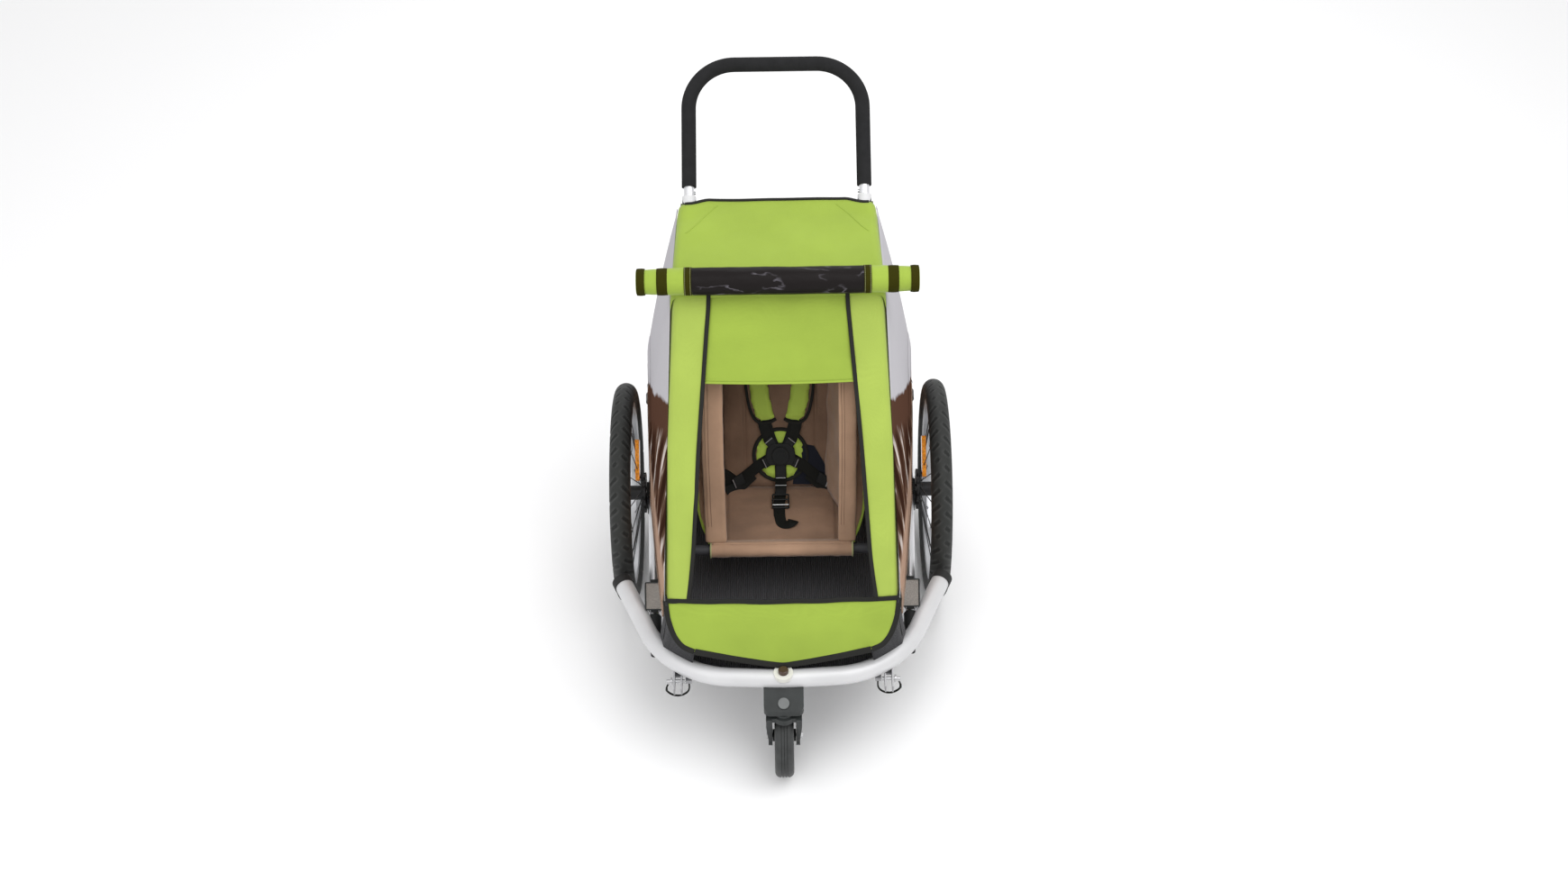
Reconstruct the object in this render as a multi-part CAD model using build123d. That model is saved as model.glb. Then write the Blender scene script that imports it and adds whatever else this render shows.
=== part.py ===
"""Single-seat child bicycle trailer: frame, wheels, caster, fold, handle and soft body.

Working frame: X across (right +), Y along (rear +, wheel axle at 0), Z up from the ground.
Every part is moved by ORIGIN_SHIFT on export, so the origin is the middle of the footprint.
"""
import math
import os

from build123d import *

# ---------------------------------------------------------------- driving dimensions (mm)
WHEEL_R = 246.0            # 20 inch wheel, outside radius of the tyre
WHEEL_X = 343.0            # middle plane of each wheel
TYRE_W = 46.0
RIM_R = 205.0
SPOKES = 24
RING_R = 45.0              # toothed parking-brake ring
RING_TEETH = 12

BAR_Z = 250.0              # centre height of the bow
BOW_R = 19.5
BOW_WALL = 2.0
BOW_FRONT_Y = -538.0
BOW_CORNER = (233.0, -524.0)
BOW_END = (342.0, -270.0)
BOW_BEND = 200.0

RAIL_R = 10.5
RAIL_Z = WHEEL_R            # the axle passes through the rails' middle
RAIL_MID_X = 286.0         # rail centre line at the axle
RAIL_SPLAY = 0.0424        # rails open towards the rear
RAIL_REAR_Y = 346.0
RAIL_FRONT_Y = -380.0
REAR_TUBE_Y = 330.0
TUBE_WALL = 1.8

AXLE_R = 6.0
AXLE_TUBE_R = 12.5
RUN_FIT = 0.05             # radial clearance of anything that turns or slides
FIXED_FIT = 0.1            # radial clearance of parts that are fixed together

HOOP_R = 11.0              # canopy hoop tube
HOOP_PIVOT = (-444.0, 380.0)
HOOP_KNEE = (-37.0, 876.0)
HOOP_REAR = (168.0, 869.0)
HOOP_X_PIVOT = 221.0
HOOP_X_KNEE = 195.0
HOOP_X_REAR = 184.0
HOOP_BEND = 60.0

STRUT_R = 9.5
STRUT_PIVOT = (306.0, 264.0)
STRUT_TOP = (228.0, 780.0)
STRUT_X_PIVOT = 272.0
STRUT_X_TOP = 162.0
PIN_R = 4.0

HANDLE_R = 11.0
FOAM_R = 15.5
HANDLE_ROOT = (205.0, 868.0)   # where the handle's line crosses the hoop's line
HANDLE_TILT = 35.0
HANDLE_REACH = 332.0
HANDLE_BEND = 97.0
FOAM_START = 63.0
SOCKET_R = 14.5

SEAT_TUBE = (-288.0, 370.0)
SEAT_TUBE_R = 11.0
SEAT_HANGER_TOP = (-386.0, 450.5)
SEAT_HALF = 148.0

CASTER_Y = -584.0
CASTER_TRAIL = 25.0
CASTER_R = 88.0
CASTER_W = 40.0
STEM_R = 8.0

HITCH_X = 218.0
HITCH_PIN = (-520.0, 224.0)
HITCH_FREE_HOLE = (-538.0, 220.0)
HITCH_HOLE_R = 4.05
HITCH_PIN_R = 3.9

FABRIC = 3.0               # plain thickness of each cloth panel
LEFT, RIGHT = -1, 1
SIDES = {"left": LEFT, "right": RIGHT}

REAR_END = HANDLE_ROOT[0] + HANDLE_REACH * math.cos(math.radians(HANDLE_TILT)) + FOAM_R
FRONT_END = CASTER_Y + CASTER_TRAIL - CASTER_R
ORIGIN_SHIFT = -(REAR_END + FRONT_END) / 2


# ---------------------------------------------------------------- helpers
def save(name, *solids):
    """Write one node; several solids share it as a group."""
    moved = [Pos(0, ORIGIN_SHIFT, 0) * solid for solid in solids]
    shape = moved[0] if len(moved) == 1 else Compound(children=moved)
    export_step(shape, f"parts/{name}.step")


def rod(start, end, radius, bore=0.0):
    """Round bar or tube from one point to another."""
    start, end = Vector(*start), Vector(*end)
    plane = Plane(origin=start, z_dir=end - start)
    length = (end - start).length
    disc = Circle(radius) - Circle(bore) if bore else Circle(radius)
    return extrude(plane * disc, length)


def bent(points, bends, radius, bore=0.0):
    """Tube swept along straight runs joined by arcs."""
    path = FilletPolyline(*points, radius=bends)
    disc = Circle(radius) - Circle(bore) if bore else Circle(radius)
    return sweep(Plane(origin=path @ 0, z_dir=path % 0) * disc, path=path)


def block(x, y, z):
    """Box from three (low, high) pairs."""
    size = [high - low for low, high in (x, y, z)]
    centre = [(high + low) / 2 for low, high in (x, y, z)]
    return Pos(*centre) * Box(*size)


def slab_x(outline, x_low, x_high):
    """Closed (y, z) outline given thickness along X."""
    face = make_face(Polyline(*[(x_low, y, z) for y, z in outline], close=True))
    return extrude(face, x_high - x_low, dir=(1, 0, 0))


def mirrored(solid):
    return mirror(solid, about=Plane.YZ)


def both(solid):
    """The right-hand piece and its mirror image."""
    return [mirrored(solid), solid]


def rail_x(y):
    return RAIL_MID_X + RAIL_SPLAY * y


def hoop_x(y):
    """Distance of the hoop's sloping tube from the middle, at a given y."""
    share = (y - HOOP_PIVOT[0]) / (HOOP_KNEE[0] - HOOP_PIVOT[0])
    return HOOP_X_PIVOT + share * (HOOP_X_KNEE - HOOP_X_PIVOT)


def on_handle(side, reach, offset_x=0.0):
    """Point on a handle leg, measured along the leg from the hoop's line."""
    tilt = math.radians(HANDLE_TILT)
    y = HANDLE_ROOT[0] + reach * math.cos(tilt)
    z = HANDLE_ROOT[1] + reach * math.sin(tilt)
    return (side * (HOOP_X_REAR + offset_x), y, z)


# ---------------------------------------------------------------- chassis
def bow_points():
    right = [(*BOW_END, BAR_Z), (*BOW_CORNER, BAR_Z)]
    left = [(-x, y, z) for x, y, z in reversed(right)]
    return right + [(0, BOW_FRONT_Y, BAR_Z)] + left


def bow_tube(radius, bore=0.0):
    return bent(bow_points(), [BOW_BEND, 600.0, BOW_BEND], radius, bore)


BOW_CUT = bow_tube(BOW_R + FIXED_FIT)


def front_bow():
    save("front_bow", bow_tube(BOW_R, BOW_R - BOW_WALL))


def bow_end_cap():
    """Rubber cap: a sleeve over the tube's end, closed by a dome that stays off the tyre."""
    end = Vector(*BOW_END, BAR_Z)
    along = (end - Vector(*BOW_CORNER, BAR_Z)).normalized()
    wall = 2.2
    sleeve = rod(end - along * 12, end + along * 3, BOW_R + wall)
    dome = rod(end + along * 3, end + along * 9, BOW_R + wall)
    dome = fillet(dome.edges().filter_by(GeomType.CIRCLE).sort_by_distance(end)[-1], 5)
    return sleeve + dome - rod(end - along * 13, end + along * 0.3, BOW_R + FIXED_FIT)


def rail_end(y):
    return (rail_x(y), y, RAIL_Z)


def side_rails():
    rail = rod(rail_end(RAIL_FRONT_Y), rail_end(RAIL_REAR_Y), RAIL_R, RAIL_R - TUBE_WALL)
    rail -= rod((240, 0, WHEEL_R), (320, 0, WHEEL_R), AXLE_R + 0.4)
    rail -= BOW_CUT
    return both(rail)


def rail_cut(radius=RAIL_R + FIXED_FIT):
    return rod(rail_end(RAIL_FRONT_Y - 1), rail_end(RAIL_REAR_Y + 20), radius)


def rail_connector():
    """Moulded joint that carries the rail's front end into the bow."""
    body = rod(rail_end(-422), rail_end(-366), 14.5)
    return body - BOW_CUT - rail_cut()


def rail_end_plug():
    body = rod(rail_end(RAIL_REAR_Y + 0.2), rail_end(RAIL_REAR_Y + 5), RAIL_R + 1)
    body = fillet(body.edges().filter_by(GeomType.CIRCLE).sort_by(Axis.Y)[-1], 2.5)
    return body + rod(rail_end(RAIL_REAR_Y - 14), rail_end(RAIL_REAR_Y + 1), RAIL_R - TUBE_WALL - 0.1)


def rear_cross_tube():
    reach = rail_x(REAR_TUBE_Y) - RAIL_R - 0.2
    return rod((-reach, REAR_TUBE_Y, RAIL_Z), (reach, REAR_TUBE_Y, RAIL_Z), RAIL_R, RAIL_R - TUBE_WALL)


BLOCK_IN, BLOCK_OUT = 262.0, 300.0
BRAKE_DROP = 40.0
BRAKE_PIN_R = 3.0


def axle_block():
    """Wheel receptacle: holds the rail, the quick-release axle and the brake pin."""
    body = block((BLOCK_IN, BLOCK_OUT), (-21, 21), (194, 262.5))
    body = fillet(body.edges().filter_by(Axis.X), 7)
    body -= rail_cut()
    body -= rod((BLOCK_IN - 1, 0, WHEEL_R), (BLOCK_OUT + 1, 0, WHEEL_R), AXLE_R + RUN_FIT)
    pin_z = WHEEL_R - BRAKE_DROP
    body -= rod((BLOCK_IN - 1, 0, pin_z), (BLOCK_OUT + 1, 0, pin_z), BRAKE_PIN_R + RUN_FIT)
    for y in (-13, 13):
        body -= rod((BLOCK_OUT - 12, y, 222), (BLOCK_OUT + 1, y, 222), 2.6)
    return body


def frame_screw(y):
    """Button-head screw in the outer face of an axle block."""
    shank = rod((BLOCK_OUT - 11, y, 222), (BLOCK_OUT - 2.4, y, 222), 2.5)
    return shank + rod((BLOCK_OUT - 2.5, y, 222), (BLOCK_OUT - 0.4, y, 222), 2.5)


def axle_tube():
    reach = BLOCK_IN - 0.2
    tube = rod((-reach, 0, WHEEL_R), (reach, 0, WHEEL_R), AXLE_TUBE_R, AXLE_TUBE_R - 2)
    save("axle_tube", tube)


REFLECTOR_TILT = 45.0
REFLECTOR_X = 269.5
REFLECTOR_Y = -339.0
REFLECTOR_Z = 285.0


def front_reflector_plane():
    return Pos(REFLECTOR_X, REFLECTOR_Y, REFLECTOR_Z) * Rot(-REFLECTOR_TILT, 0, 0)


def front_reflector():
    """Clear lens, leaning back and facing forwards and up."""
    lens = front_reflector_plane() * Box(38, 7, 57)
    return fillet(lens.edges().filter_by(GeomType.LINE).sort_by(Axis.Y)[:3], 1.5)


def reflector_clip():
    """Band round the rail with a back plate for the lens."""
    plate = front_reflector_plane() * Pos(0, 6, 0) * Box(28, 4, 40)
    post = block((REFLECTOR_X - 5, REFLECTOR_X + 5), (-340, -324), (262, 288))
    band = rod(rail_end(-344), rail_end(-320), RAIL_R + 3)
    keep_out = front_reflector_plane() * Box(64, 7.6, 90)
    return plate + post + band - rail_cut() - keep_out


def rear_reflector():
    lens = block((120, 180), (341.0, 349.0), (234, 266))
    return fillet(lens.edges().filter_by(Axis.Y), 6)


def floor_panel():
    """Flat fabric floor laced between the rails, under the axle tube."""
    half = [(268, 318), (244, RAIL_FRONT_Y), (205, -455), (120, -496)]
    outline = [(x, y, 229) for x, y in half] + [(-x, y, 229) for x, y in reversed(half)]
    save("floor_panel", extrude(make_face(Polyline(*outline, close=True)), FABRIC, dir=(0, 0, 1)))


def toe_panel():
    """Front fabric panel between the opening's lower band and the bow."""
    profile = [(-454, 398), (-493, 345), (-519, 273), (-517, 273), (-491, 344), (-452, 396.8)]
    front = [(231, 400), (210, 345), (183, 312), (100, 286), (0, 272)]
    outline = [(x, -560, z) for x, z in front] + [(-x, -560, z) for x, z in reversed(front[:-1])]
    window = extrude(make_face(Polyline(*outline, close=True)), 160, dir=(0, 1, 0))
    save("toe_panel", slab_x(profile, -235, 235) & window)


def chassis():
    front_bow()
    axle_tube()
    floor_panel()
    toe_panel()
    save("floor_frame", *side_rails(), rear_cross_tube())
    save("end_caps", *both(bow_end_cap()), *both(rail_end_plug()))
    save("rail_fittings", *both(rail_connector()), *both(reflector_clip()))
    save("axle_blocks", *both(axle_block()))
    save("frame_screws", *both(frame_screw(-13)), *both(frame_screw(13)))
    save("front_reflectors", *both(front_reflector()))
    save("rear_reflectors", *both(rear_reflector()))


# ---------------------------------------------------------------- wheels
def wheel_disc(inner, outer, x_low, x_high):
    return rod((x_low, 0, WHEEL_R), (x_high, 0, WHEEL_R), outer, inner)


def spun(outline):
    """Turn a closed (x, radius) outline about the axle."""
    face = make_face(Polyline(*[(x, 0, r) for x, r in outline], close=True))
    return Pos(0, 0, WHEEL_R) * revolve(face, Axis.X)


def tyre():
    """Hollow casing: a rounded crown over an open cavity and two beads."""
    half, crown = TYRE_W / 2, WHEEL_R - TYRE_W / 2
    left, right = (WHEEL_X - half, crown), (WHEEL_X + half, crown)
    top = (WHEEL_X, WHEEL_R)
    outer = ThreePointArc((left[0], 0, left[1]), (top[0], 0, top[1]), (right[0], 0, right[1]))
    wall, bead_x, bead_r = 3.5, 12.5, RIM_R + 0.8
    inner = ThreePointArc(
        (WHEEL_X + half - wall, 0, crown), (WHEEL_X, 0, WHEEL_R - 5), (WHEEL_X - half + wall, 0, crown)
    )
    lines = [
        Line(outer @ 1, (WHEEL_X + bead_x, 0, bead_r)),
        Line((WHEEL_X + bead_x, 0, bead_r), (WHEEL_X + bead_x - wall, 0, bead_r)),
        Line((WHEEL_X + bead_x - wall, 0, bead_r), inner @ 0),
    ]
    back = [
        Line(inner @ 1, (WHEEL_X - bead_x + wall, 0, bead_r)),
        Line((WHEEL_X - bead_x + wall, 0, bead_r), (WHEEL_X - bead_x, 0, bead_r)),
        Line((WHEEL_X - bead_x, 0, bead_r), outer @ 0),
    ]
    face = make_face([outer, *lines, inner, *back])
    return Pos(0, 0, WHEEL_R) * revolve(face, Axis.X)


def rim():
    """Box-section rim with a shallow well."""
    profile = [(-15, RIM_R), (-8, RIM_R), (-6, RIM_R - 5), (6, RIM_R - 5), (8, RIM_R), (15, RIM_R)]
    profile += [(13, RIM_R - 10), (5, RIM_R - 17), (-5, RIM_R - 17), (-13, RIM_R - 10)]
    return spun([(WHEEL_X + x, r) for x, r in profile])


HUB_IN, HUB_OUT = 306.0, 356.0
FLANGE_R = 26.0


def hub():
    shell = [(HUB_IN, 12.1), (HUB_IN, 17), (308, 17), (308, FLANGE_R), (311, FLANGE_R), (313, 16)]
    shell += [(347, 16), (349, FLANGE_R), (352, FLANGE_R), (352, 17), (HUB_OUT, 17), (HUB_OUT, 12.1)]
    shell += [(349, 12.1), (349, 8), (313, 8), (313, 12.1)]
    return spun(shell) + brake_ring()


def brake_ring():
    """Notched disc on the hub's inner end, where the parking-brake pin engages."""
    ring = wheel_disc(12.1, RING_R, 301.5, HUB_IN + 0.5)
    for tooth in range(RING_TEETH):
        notch = block((300, 308), (-4.25, 4.25), (-RING_R - 2, -RING_R + 9))
        ring -= Pos(0, 0, WHEEL_R) * (Rot(360 / RING_TEETH * tooth, 0, 0) * notch)
    return ring


def spokes(radius=1.0):
    """Straight spokes: each flange leans its own way round."""
    rods = []
    for n in range(SPOKES):
        inner = n % 2 == 0
        x = 309.5 if inner else 350.5
        lean = 28 if inner else -28
        at_rim = math.radians(360 / SPOKES * n)
        at_hub = at_rim + math.radians(lean)
        low = (x, 24 * math.sin(at_hub), WHEEL_R + 24 * math.cos(at_hub))
        rim_x = WHEEL_X + (-2 if inner else 2)
        reach = RIM_R - 15.5
        high = (rim_x, reach * math.sin(at_rim), WHEEL_R + reach * math.cos(at_rim))
        rods.append(rod(low, high, radius))
    return rods


def spoke_reflector():
    """Amber lens clipped on the inner spokes, leaning back beside the hub."""
    lens = Box(9, 28, 92)
    lens = fillet(lens.edges().filter_by(Axis.X), 6)
    lens = Pos(318, 31, WHEEL_R + 72) * (Rot(-45, 0, 0) * lens)
    return lens - spokes(1.25) - wheel_disc(0, FLANGE_R + 1, 300, 330)


def axle():
    """Quick-release axle: shaft, stop flange and hollow cap for the button."""
    shaft = rod((266, 0, WHEEL_R), (HUB_OUT + 1, 0, WHEEL_R), AXLE_R)
    cap = rod((HUB_OUT + 0.5, 0, WHEEL_R), (HUB_OUT + 5, 0, WHEEL_R), 13)
    return shaft + cap - rod((HUB_OUT - 4, 0, WHEEL_R), (HUB_OUT + 6, 0, WHEEL_R), 4 + RUN_FIT)


def axle_button():
    return rod((HUB_OUT - 0.5, 0, WHEEL_R), (HUB_OUT + 7.5, 0, WHEEL_R), 4)


def hub_bearing(x):
    """Sealed bearing, fixed on the axle and running in the hub."""
    return wheel_disc(AXLE_R + FIXED_FIT, 12.0, x, x + 6)


def wheels():
    pieces = {
        "tyre": [tyre()],
        "rim": [rim()],
        "hub": [hub()],
        "spokes": spokes(),
        "spoke_reflector": [spoke_reflector()],
        "axle_button": [axle_button()],
    }
    for piece, solids in pieces.items():
        save(f"{piece}_right", *solids)
        save(f"{piece}_left", *[mirrored(solid) for solid in solids])
    save("wheel_axles", *both(axle()))
    save("hub_bearings", *both(hub_bearing(306.5)), *both(hub_bearing(349.4)))


# ---------------------------------------------------------------- parking brake
PEDAL_IN, PEDAL_OUT = 196.0, 228.0


def brake_pedal():
    """Foot lever that turns on the rear cross tube."""
    boss = rod((PEDAL_IN, REAR_TUBE_Y, RAIL_Z), (PEDAL_OUT, REAR_TUBE_Y, RAIL_Z), RAIL_R + 4)
    arm = slab_x([(338, 256), (338, 247), (352, 252), (392, 252), (392, 260), (352, 260)], 198, 226)
    pad = block((184, 240), (366, 396), (256, 262))
    pad = fillet(pad.edges().filter_by(Axis.Z), 6)
    bore = rod((PEDAL_IN - 1, REAR_TUBE_Y, RAIL_Z), (PEDAL_OUT + 1, REAR_TUBE_Y, RAIL_Z), RAIL_R + RUN_FIT)
    save("brake_pedal", boss + arm + pad - bore)


def brake_pins():
    pin_z = WHEEL_R - BRAKE_DROP
    pin = rod((266, 0, pin_z), (BLOCK_OUT, 0, pin_z), BRAKE_PIN_R)
    for name, solid in zip(SIDES, both(pin)):
        save(f"brake_pin_{name}", solid)


# ---------------------------------------------------------------- caster
CROWN_TOP, CROWN_LOW = 199.0, 184.0
HOUSING_LOW = 208.0
HOUSING_FACE = [(-602.0, 222.0), (-556.0, 243.0)]


def caster_housing():
    """Cast housing under the bow, with a slanted front face and the stem's bore."""
    profile = [(-602, HOUSING_LOW), *HOUSING_FACE, (-520, 243), (-520, 216), (-540, HOUSING_LOW)]
    body = slab_x(profile, -41, 41)
    body = fillet(body.edges().filter_by(Axis.Z).sort_by(Axis.Y)[:2], 13)
    body -= BOW_CUT
    body -= rod((0, CASTER_Y, HOUSING_LOW - 1), (0, CASTER_Y, 215.5), 14.1)
    return body - button_rod(11.5 + RUN_FIT, -8)


FACE_TILT = math.degrees(math.atan2(21, 46))


def button_rod(radius, depth, height=10.0):
    """Cylinder along the normal of the housing's slanted face."""
    at = Pos(0, -586, 229.3) * Rot(FACE_TILT, 0, 0)
    return at * (Pos(0, 0, depth + (height - depth) / 2) * Cylinder(radius, height - depth))


def fork_arm():
    """Side plate of the fork, thick at the shoulder and thinner at the wheel's axle."""
    axle_y = CASTER_Y + CASTER_TRAIL
    plate = slab_x([(-606, CROWN_TOP), (-550, CROWN_TOP), (-538, 92), (-580, 92)], 20, 40)
    front = [(25, CROWN_TOP), (37, CROWN_TOP), (37, 165), (33, 100), (33, 60), (25, 60)]
    outline = make_face(Polyline(*[(x, -650, z) for x, z in front], close=True))
    plate &= extrude(outline, 150, dir=(0, 1, 0))
    plate += rod((25, axle_y, CASTER_R), (33, axle_y, CASTER_R), 21)
    return plate


def caster_fork():
    """Arched fork: hub, bridge, two arms and the stem that turns in the housing."""
    hub = rod((0, CASTER_Y, CROWN_LOW), (0, CASTER_Y, CROWN_TOP), 24)
    bridge = block((-37, 37), (-602, -550), (CROWN_LOW + 3, CROWN_TOP))
    neck = rod((0, CASTER_Y, CROWN_TOP - 1), (0, CASTER_Y, HOUSING_LOW - 0.4), 20)
    stem = rod((0, CASTER_Y, CROWN_TOP), (0, CASTER_Y, 214.8), STEM_R)
    body = hub + bridge + neck + stem + fork_arm() + mirrored(fork_arm())
    axle_y = CASTER_Y + CASTER_TRAIL
    return body - rod((-40, axle_y, CASTER_R), (40, axle_y, CASTER_R), 4.05)


def caster_bearing():
    return rod((0, CASTER_Y, HOUSING_LOW + 0.2), (0, CASTER_Y, 215.2), 14, STEM_R + RUN_FIT)


def caster_axle():
    """Bolt with a round head on the left and a nut on the right."""
    axle_y = CASTER_Y + CASTER_TRAIL
    bolt = rod((-36, axle_y, CASTER_R), (38, axle_y, CASTER_R), 4)
    head = rod((-37, axle_y, CASTER_R), (-33.2, axle_y, CASTER_R), 7)
    nut = Plane(origin=(33.2, axle_y, CASTER_R), z_dir=(1, 0, 0)) * RegularPolygon(7.5, 6)
    return bolt + head + extrude(nut, 5)


def caster_wheel():
    """Solid tread tyre with three grooves on a moulded rim."""
    axle_y = CASTER_Y + CASTER_TRAIL
    half = CASTER_W / 2
    tyre_body = rod((-half, axle_y, CASTER_R), (half, axle_y, CASTER_R), CASTER_R, 62)
    edges = tyre_body.edges().filter_by(GeomType.CIRCLE).sort_by(SortBy.RADIUS)[-2:]
    tyre_body = fillet(edges, 12)
    for x in (-6, 0, 6):
        tyre_body -= rod((x - 0.8, axle_y, CASTER_R), (x + 0.8, axle_y, CASTER_R), 90, CASTER_R - 2)
    disc = rod((-15, axle_y, CASTER_R), (15, axle_y, CASTER_R), 61.9, 48)
    disc += rod((-7, axle_y, CASTER_R), (7, axle_y, CASTER_R), 50)
    disc += rod((-24.5, axle_y, CASTER_R), (24.5, axle_y, CASTER_R), 13)
    disc -= rod((-26, axle_y, CASTER_R), (26, axle_y, CASTER_R), 4 + RUN_FIT)
    return tyre_body, disc


def bow_centre_plug():
    """Knob and saddle washer on top of the bow, above the caster."""
    washer = rod((0, BOW_FRONT_Y, 262), (0, BOW_FRONT_Y, 272), 20) - BOW_CUT
    knob = rod((0, BOW_FRONT_Y, 272.1), (0, BOW_FRONT_Y, 281), 10.5)
    knob = fillet(knob.edges().sort_by(Axis.Z)[-1], 3)
    save("bow_centre_plug", knob, washer)


def caster():
    bow_centre_plug()
    save("caster_housing", caster_housing())
    save("caster_button", button_rod(11.5, -4.5, 4.0))
    save("caster_fork", caster_fork())
    save("caster_bearing", caster_bearing())
    save("caster_axle", caster_axle())
    tread, disc = caster_wheel()
    save("caster_tyre", tread)
    save("caster_rim", disc)


# ---------------------------------------------------------------- hitch
PLATE_GAP = 9.0


def hitch_bracket():
    """Clevis under the bow: two ears with a cross hole for the quick pin."""
    y, z = HITCH_PIN
    ears = []
    for x in (HITCH_X - PLATE_GAP, HITCH_X + PLATE_GAP - 3):
        ears.append(slab_x([(-505, 244), (-546, 230), (-546, 212), (-512, 212), (-488, 232)], x, x + 3))
    web = block((HITCH_X - PLATE_GAP, HITCH_X + PLATE_GAP), (-512, -486), (226, 232))
    body = ears[0] + ears[1] + web - BOW_CUT
    return body - rod((HITCH_X - 30, y, z), (HITCH_X + 30, y, z), HITCH_PIN_R + RUN_FIT)


def drawbar_hole():
    """Second cross hole of the left clevis, for the drawbar's own pin."""
    y, z = HITCH_FREE_HOLE
    return rod((-HITCH_X - 30, y, z), (-HITCH_X + 30, y, z), HITCH_HOLE_R)


def hitch_pin():
    y, z = HITCH_PIN
    pin = rod((HITCH_X - 14, y, z), (HITCH_X + 24, y, z), HITCH_PIN_R)
    tail = rod((HITCH_X + 21, y, z), (HITCH_X + 21, y, 216.2), 1.8)
    return pin + tail + rod((HITCH_X + 12, y, z), (HITCH_X + 15, y, z), 8)


LEASH_R = 2.0
LEASH = [(239.0, 215.0), (246.0, 199.0), (236.0, 182.0), (219.0, 175.0), (202.0, 184.0), (194.0, 202.0), (196.0, 222.0)]


def leash(side):
    """Short strap from the pin's head round under the clevis to the bow."""
    points = [(side * x, HITCH_PIN[0], z) for x, z in LEASH]
    runs = [math.dist(a, b) for a, b in zip(points, points[1:])]
    bends = []
    for before, here, after in zip(points, points[1:], points[2:]):
        into = Vector(*here) - Vector(*before)
        out = Vector(*after) - Vector(*here)
        turn = math.radians(into.get_angle(out))
        bends.append(0.45 * min(into.length, out.length) / math.tan(turn / 2))
    print("leash bends", [round(bend, 1) for bend in bends], "runs", round(sum(runs), 1))
    return bent(points, bends, LEASH_R)


def leash_anchor():
    """Loop post that holds the inner end of the strap under the bow."""
    body = block((190, 202), (HITCH_PIN[0] - 5, HITCH_PIN[0] + 24), (222.2, 232))
    return body - BOW_CUT


def hitch():
    left, right = both(hitch_bracket())
    save("hitch_brackets", left - drawbar_hole(), right, *both(leash_anchor()))
    for name, solid in zip(SIDES, both(hitch_pin())):
        save(f"hitch_pin_{name}", solid)
    for name, side in SIDES.items():
        save(f"leash_{name}", leash(side))


# ---------------------------------------------------------------- folding hoop
def hoop_line():
    """Centre line of the right-hand hoop tube, lower end first."""
    slope = math.atan2(HOOP_KNEE[1] - HOOP_PIVOT[1], HOOP_KNEE[0] - HOOP_PIVOT[0])
    y, z = HOOP_PIVOT[0] - 8 * math.cos(slope), HOOP_PIVOT[1] - 8 * math.sin(slope)
    low = (hoop_x(y), y, z)
    return [low, (HOOP_X_KNEE, *HOOP_KNEE), (HOOP_X_REAR, *HOOP_REAR)]


def hoop_tube():
    tube = bent(hoop_line(), [HOOP_BEND], HOOP_R, HOOP_R - TUBE_WALL)
    y, z = HOOP_PIVOT
    return tube - rod((150, y, z), (250, y, z), PIN_R + RUN_FIT)


def roof_cross_tubes():
    """Front tube under the roof's edge and rear tube between the corner castings."""
    front_x = HOOP_X_KNEE - HOOP_R - 2
    front = rod((-front_x, -12, 875.2), (front_x, -12, 875.2), 9.5, 8)
    rear_x = HOOP_X_REAR - SOCKET_R - 0.3
    rear = rod((-rear_x, 150, 869.6), (rear_x, 150, 869.6), 9.5, 8)
    return front, rear


LATCH_IN, LATCH_OUT = 176.0, 180.0
LEVER_PIVOT = (226.0, 822.0)


def roof_corner():
    """Cast corner: clamps the hoop's end, takes the handle leg and carries the latch plate."""
    clamp = rod((HOOP_X_REAR, 132, 870.2), (HOOP_X_REAR, 190, 868.4), SOCKET_R)
    socket = rod(on_handle(RIGHT, -34), on_handle(RIGHT, 42), SOCKET_R)
    plate = slab_x([(204, 872), (228, 872), (241, 766), (216, 766)], LATCH_IN, LATCH_OUT)
    body = clamp + socket + plate
    body -= rod(on_handle(RIGHT, -31), on_handle(RIGHT, 60), HANDLE_R + RUN_FIT)
    body -= bent(hoop_line(), [HOOP_BEND], HOOP_R + FIXED_FIT)
    y, z = STRUT_TOP
    slot = slab_x([(y, z - 5), (y, z + 5), (y - 40, z + 20.4), (y - 40, z + 10.4)], 170, 190)
    body -= slot
    body -= rod((170, y, z), (190, y, z), 5)
    return body - rod((170, *LEVER_PIVOT), (190, *LEVER_PIVOT), PIN_R + RUN_FIT)


def fold_latch():
    """Release levers beside the latch plates, joined by one cross rod that turns in them."""
    y, z = LEVER_PIVOT
    bar = slab_x([(y - 8, z + 6), (y + 8, z + 6), (y + 9, z - 62), (y - 9, z - 62)], 187, 191)
    bar = fillet(bar.edges().filter_by(Axis.X), 5)
    bar += block((184, 196), (y - 9, y + 9), (z - 60, z - 52))
    return bar + mirrored(bar) + rod((-188, y, z), (188, y, z), PIN_R)


def seat_frame():
    """Front seat tube and the two flat bars that carry it from the sloping hoop tubes."""
    low, high = SEAT_TUBE, SEAT_HANGER_TOP
    bar = slab_x([(low[0] - 8, low[1] - 10), (low[0] + 8, low[1] + 10), (high[0] + 8, high[1] + 10),
                  (high[0] - 8, high[1] - 10)], 201.5, 205.5)
    bar += rod((201.5, *low), (205.5, *low), 13) + rod((201.5, *high), (205.5, *high), 11)
    tube = rod((-202, *SEAT_TUBE), (202, *SEAT_TUBE), SEAT_TUBE_R, SEAT_TUBE_R - TUBE_WALL)
    return tube + bar + mirrored(bar)


def hoop():
    save("hoop_tubes", *both(hoop_tube()))
    save("roof_cross_tubes", *roof_cross_tubes())
    save("roof_corners", *both(roof_corner()))
    save("fold_latch", fold_latch())
    save("seat_frame", seat_frame())


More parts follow.
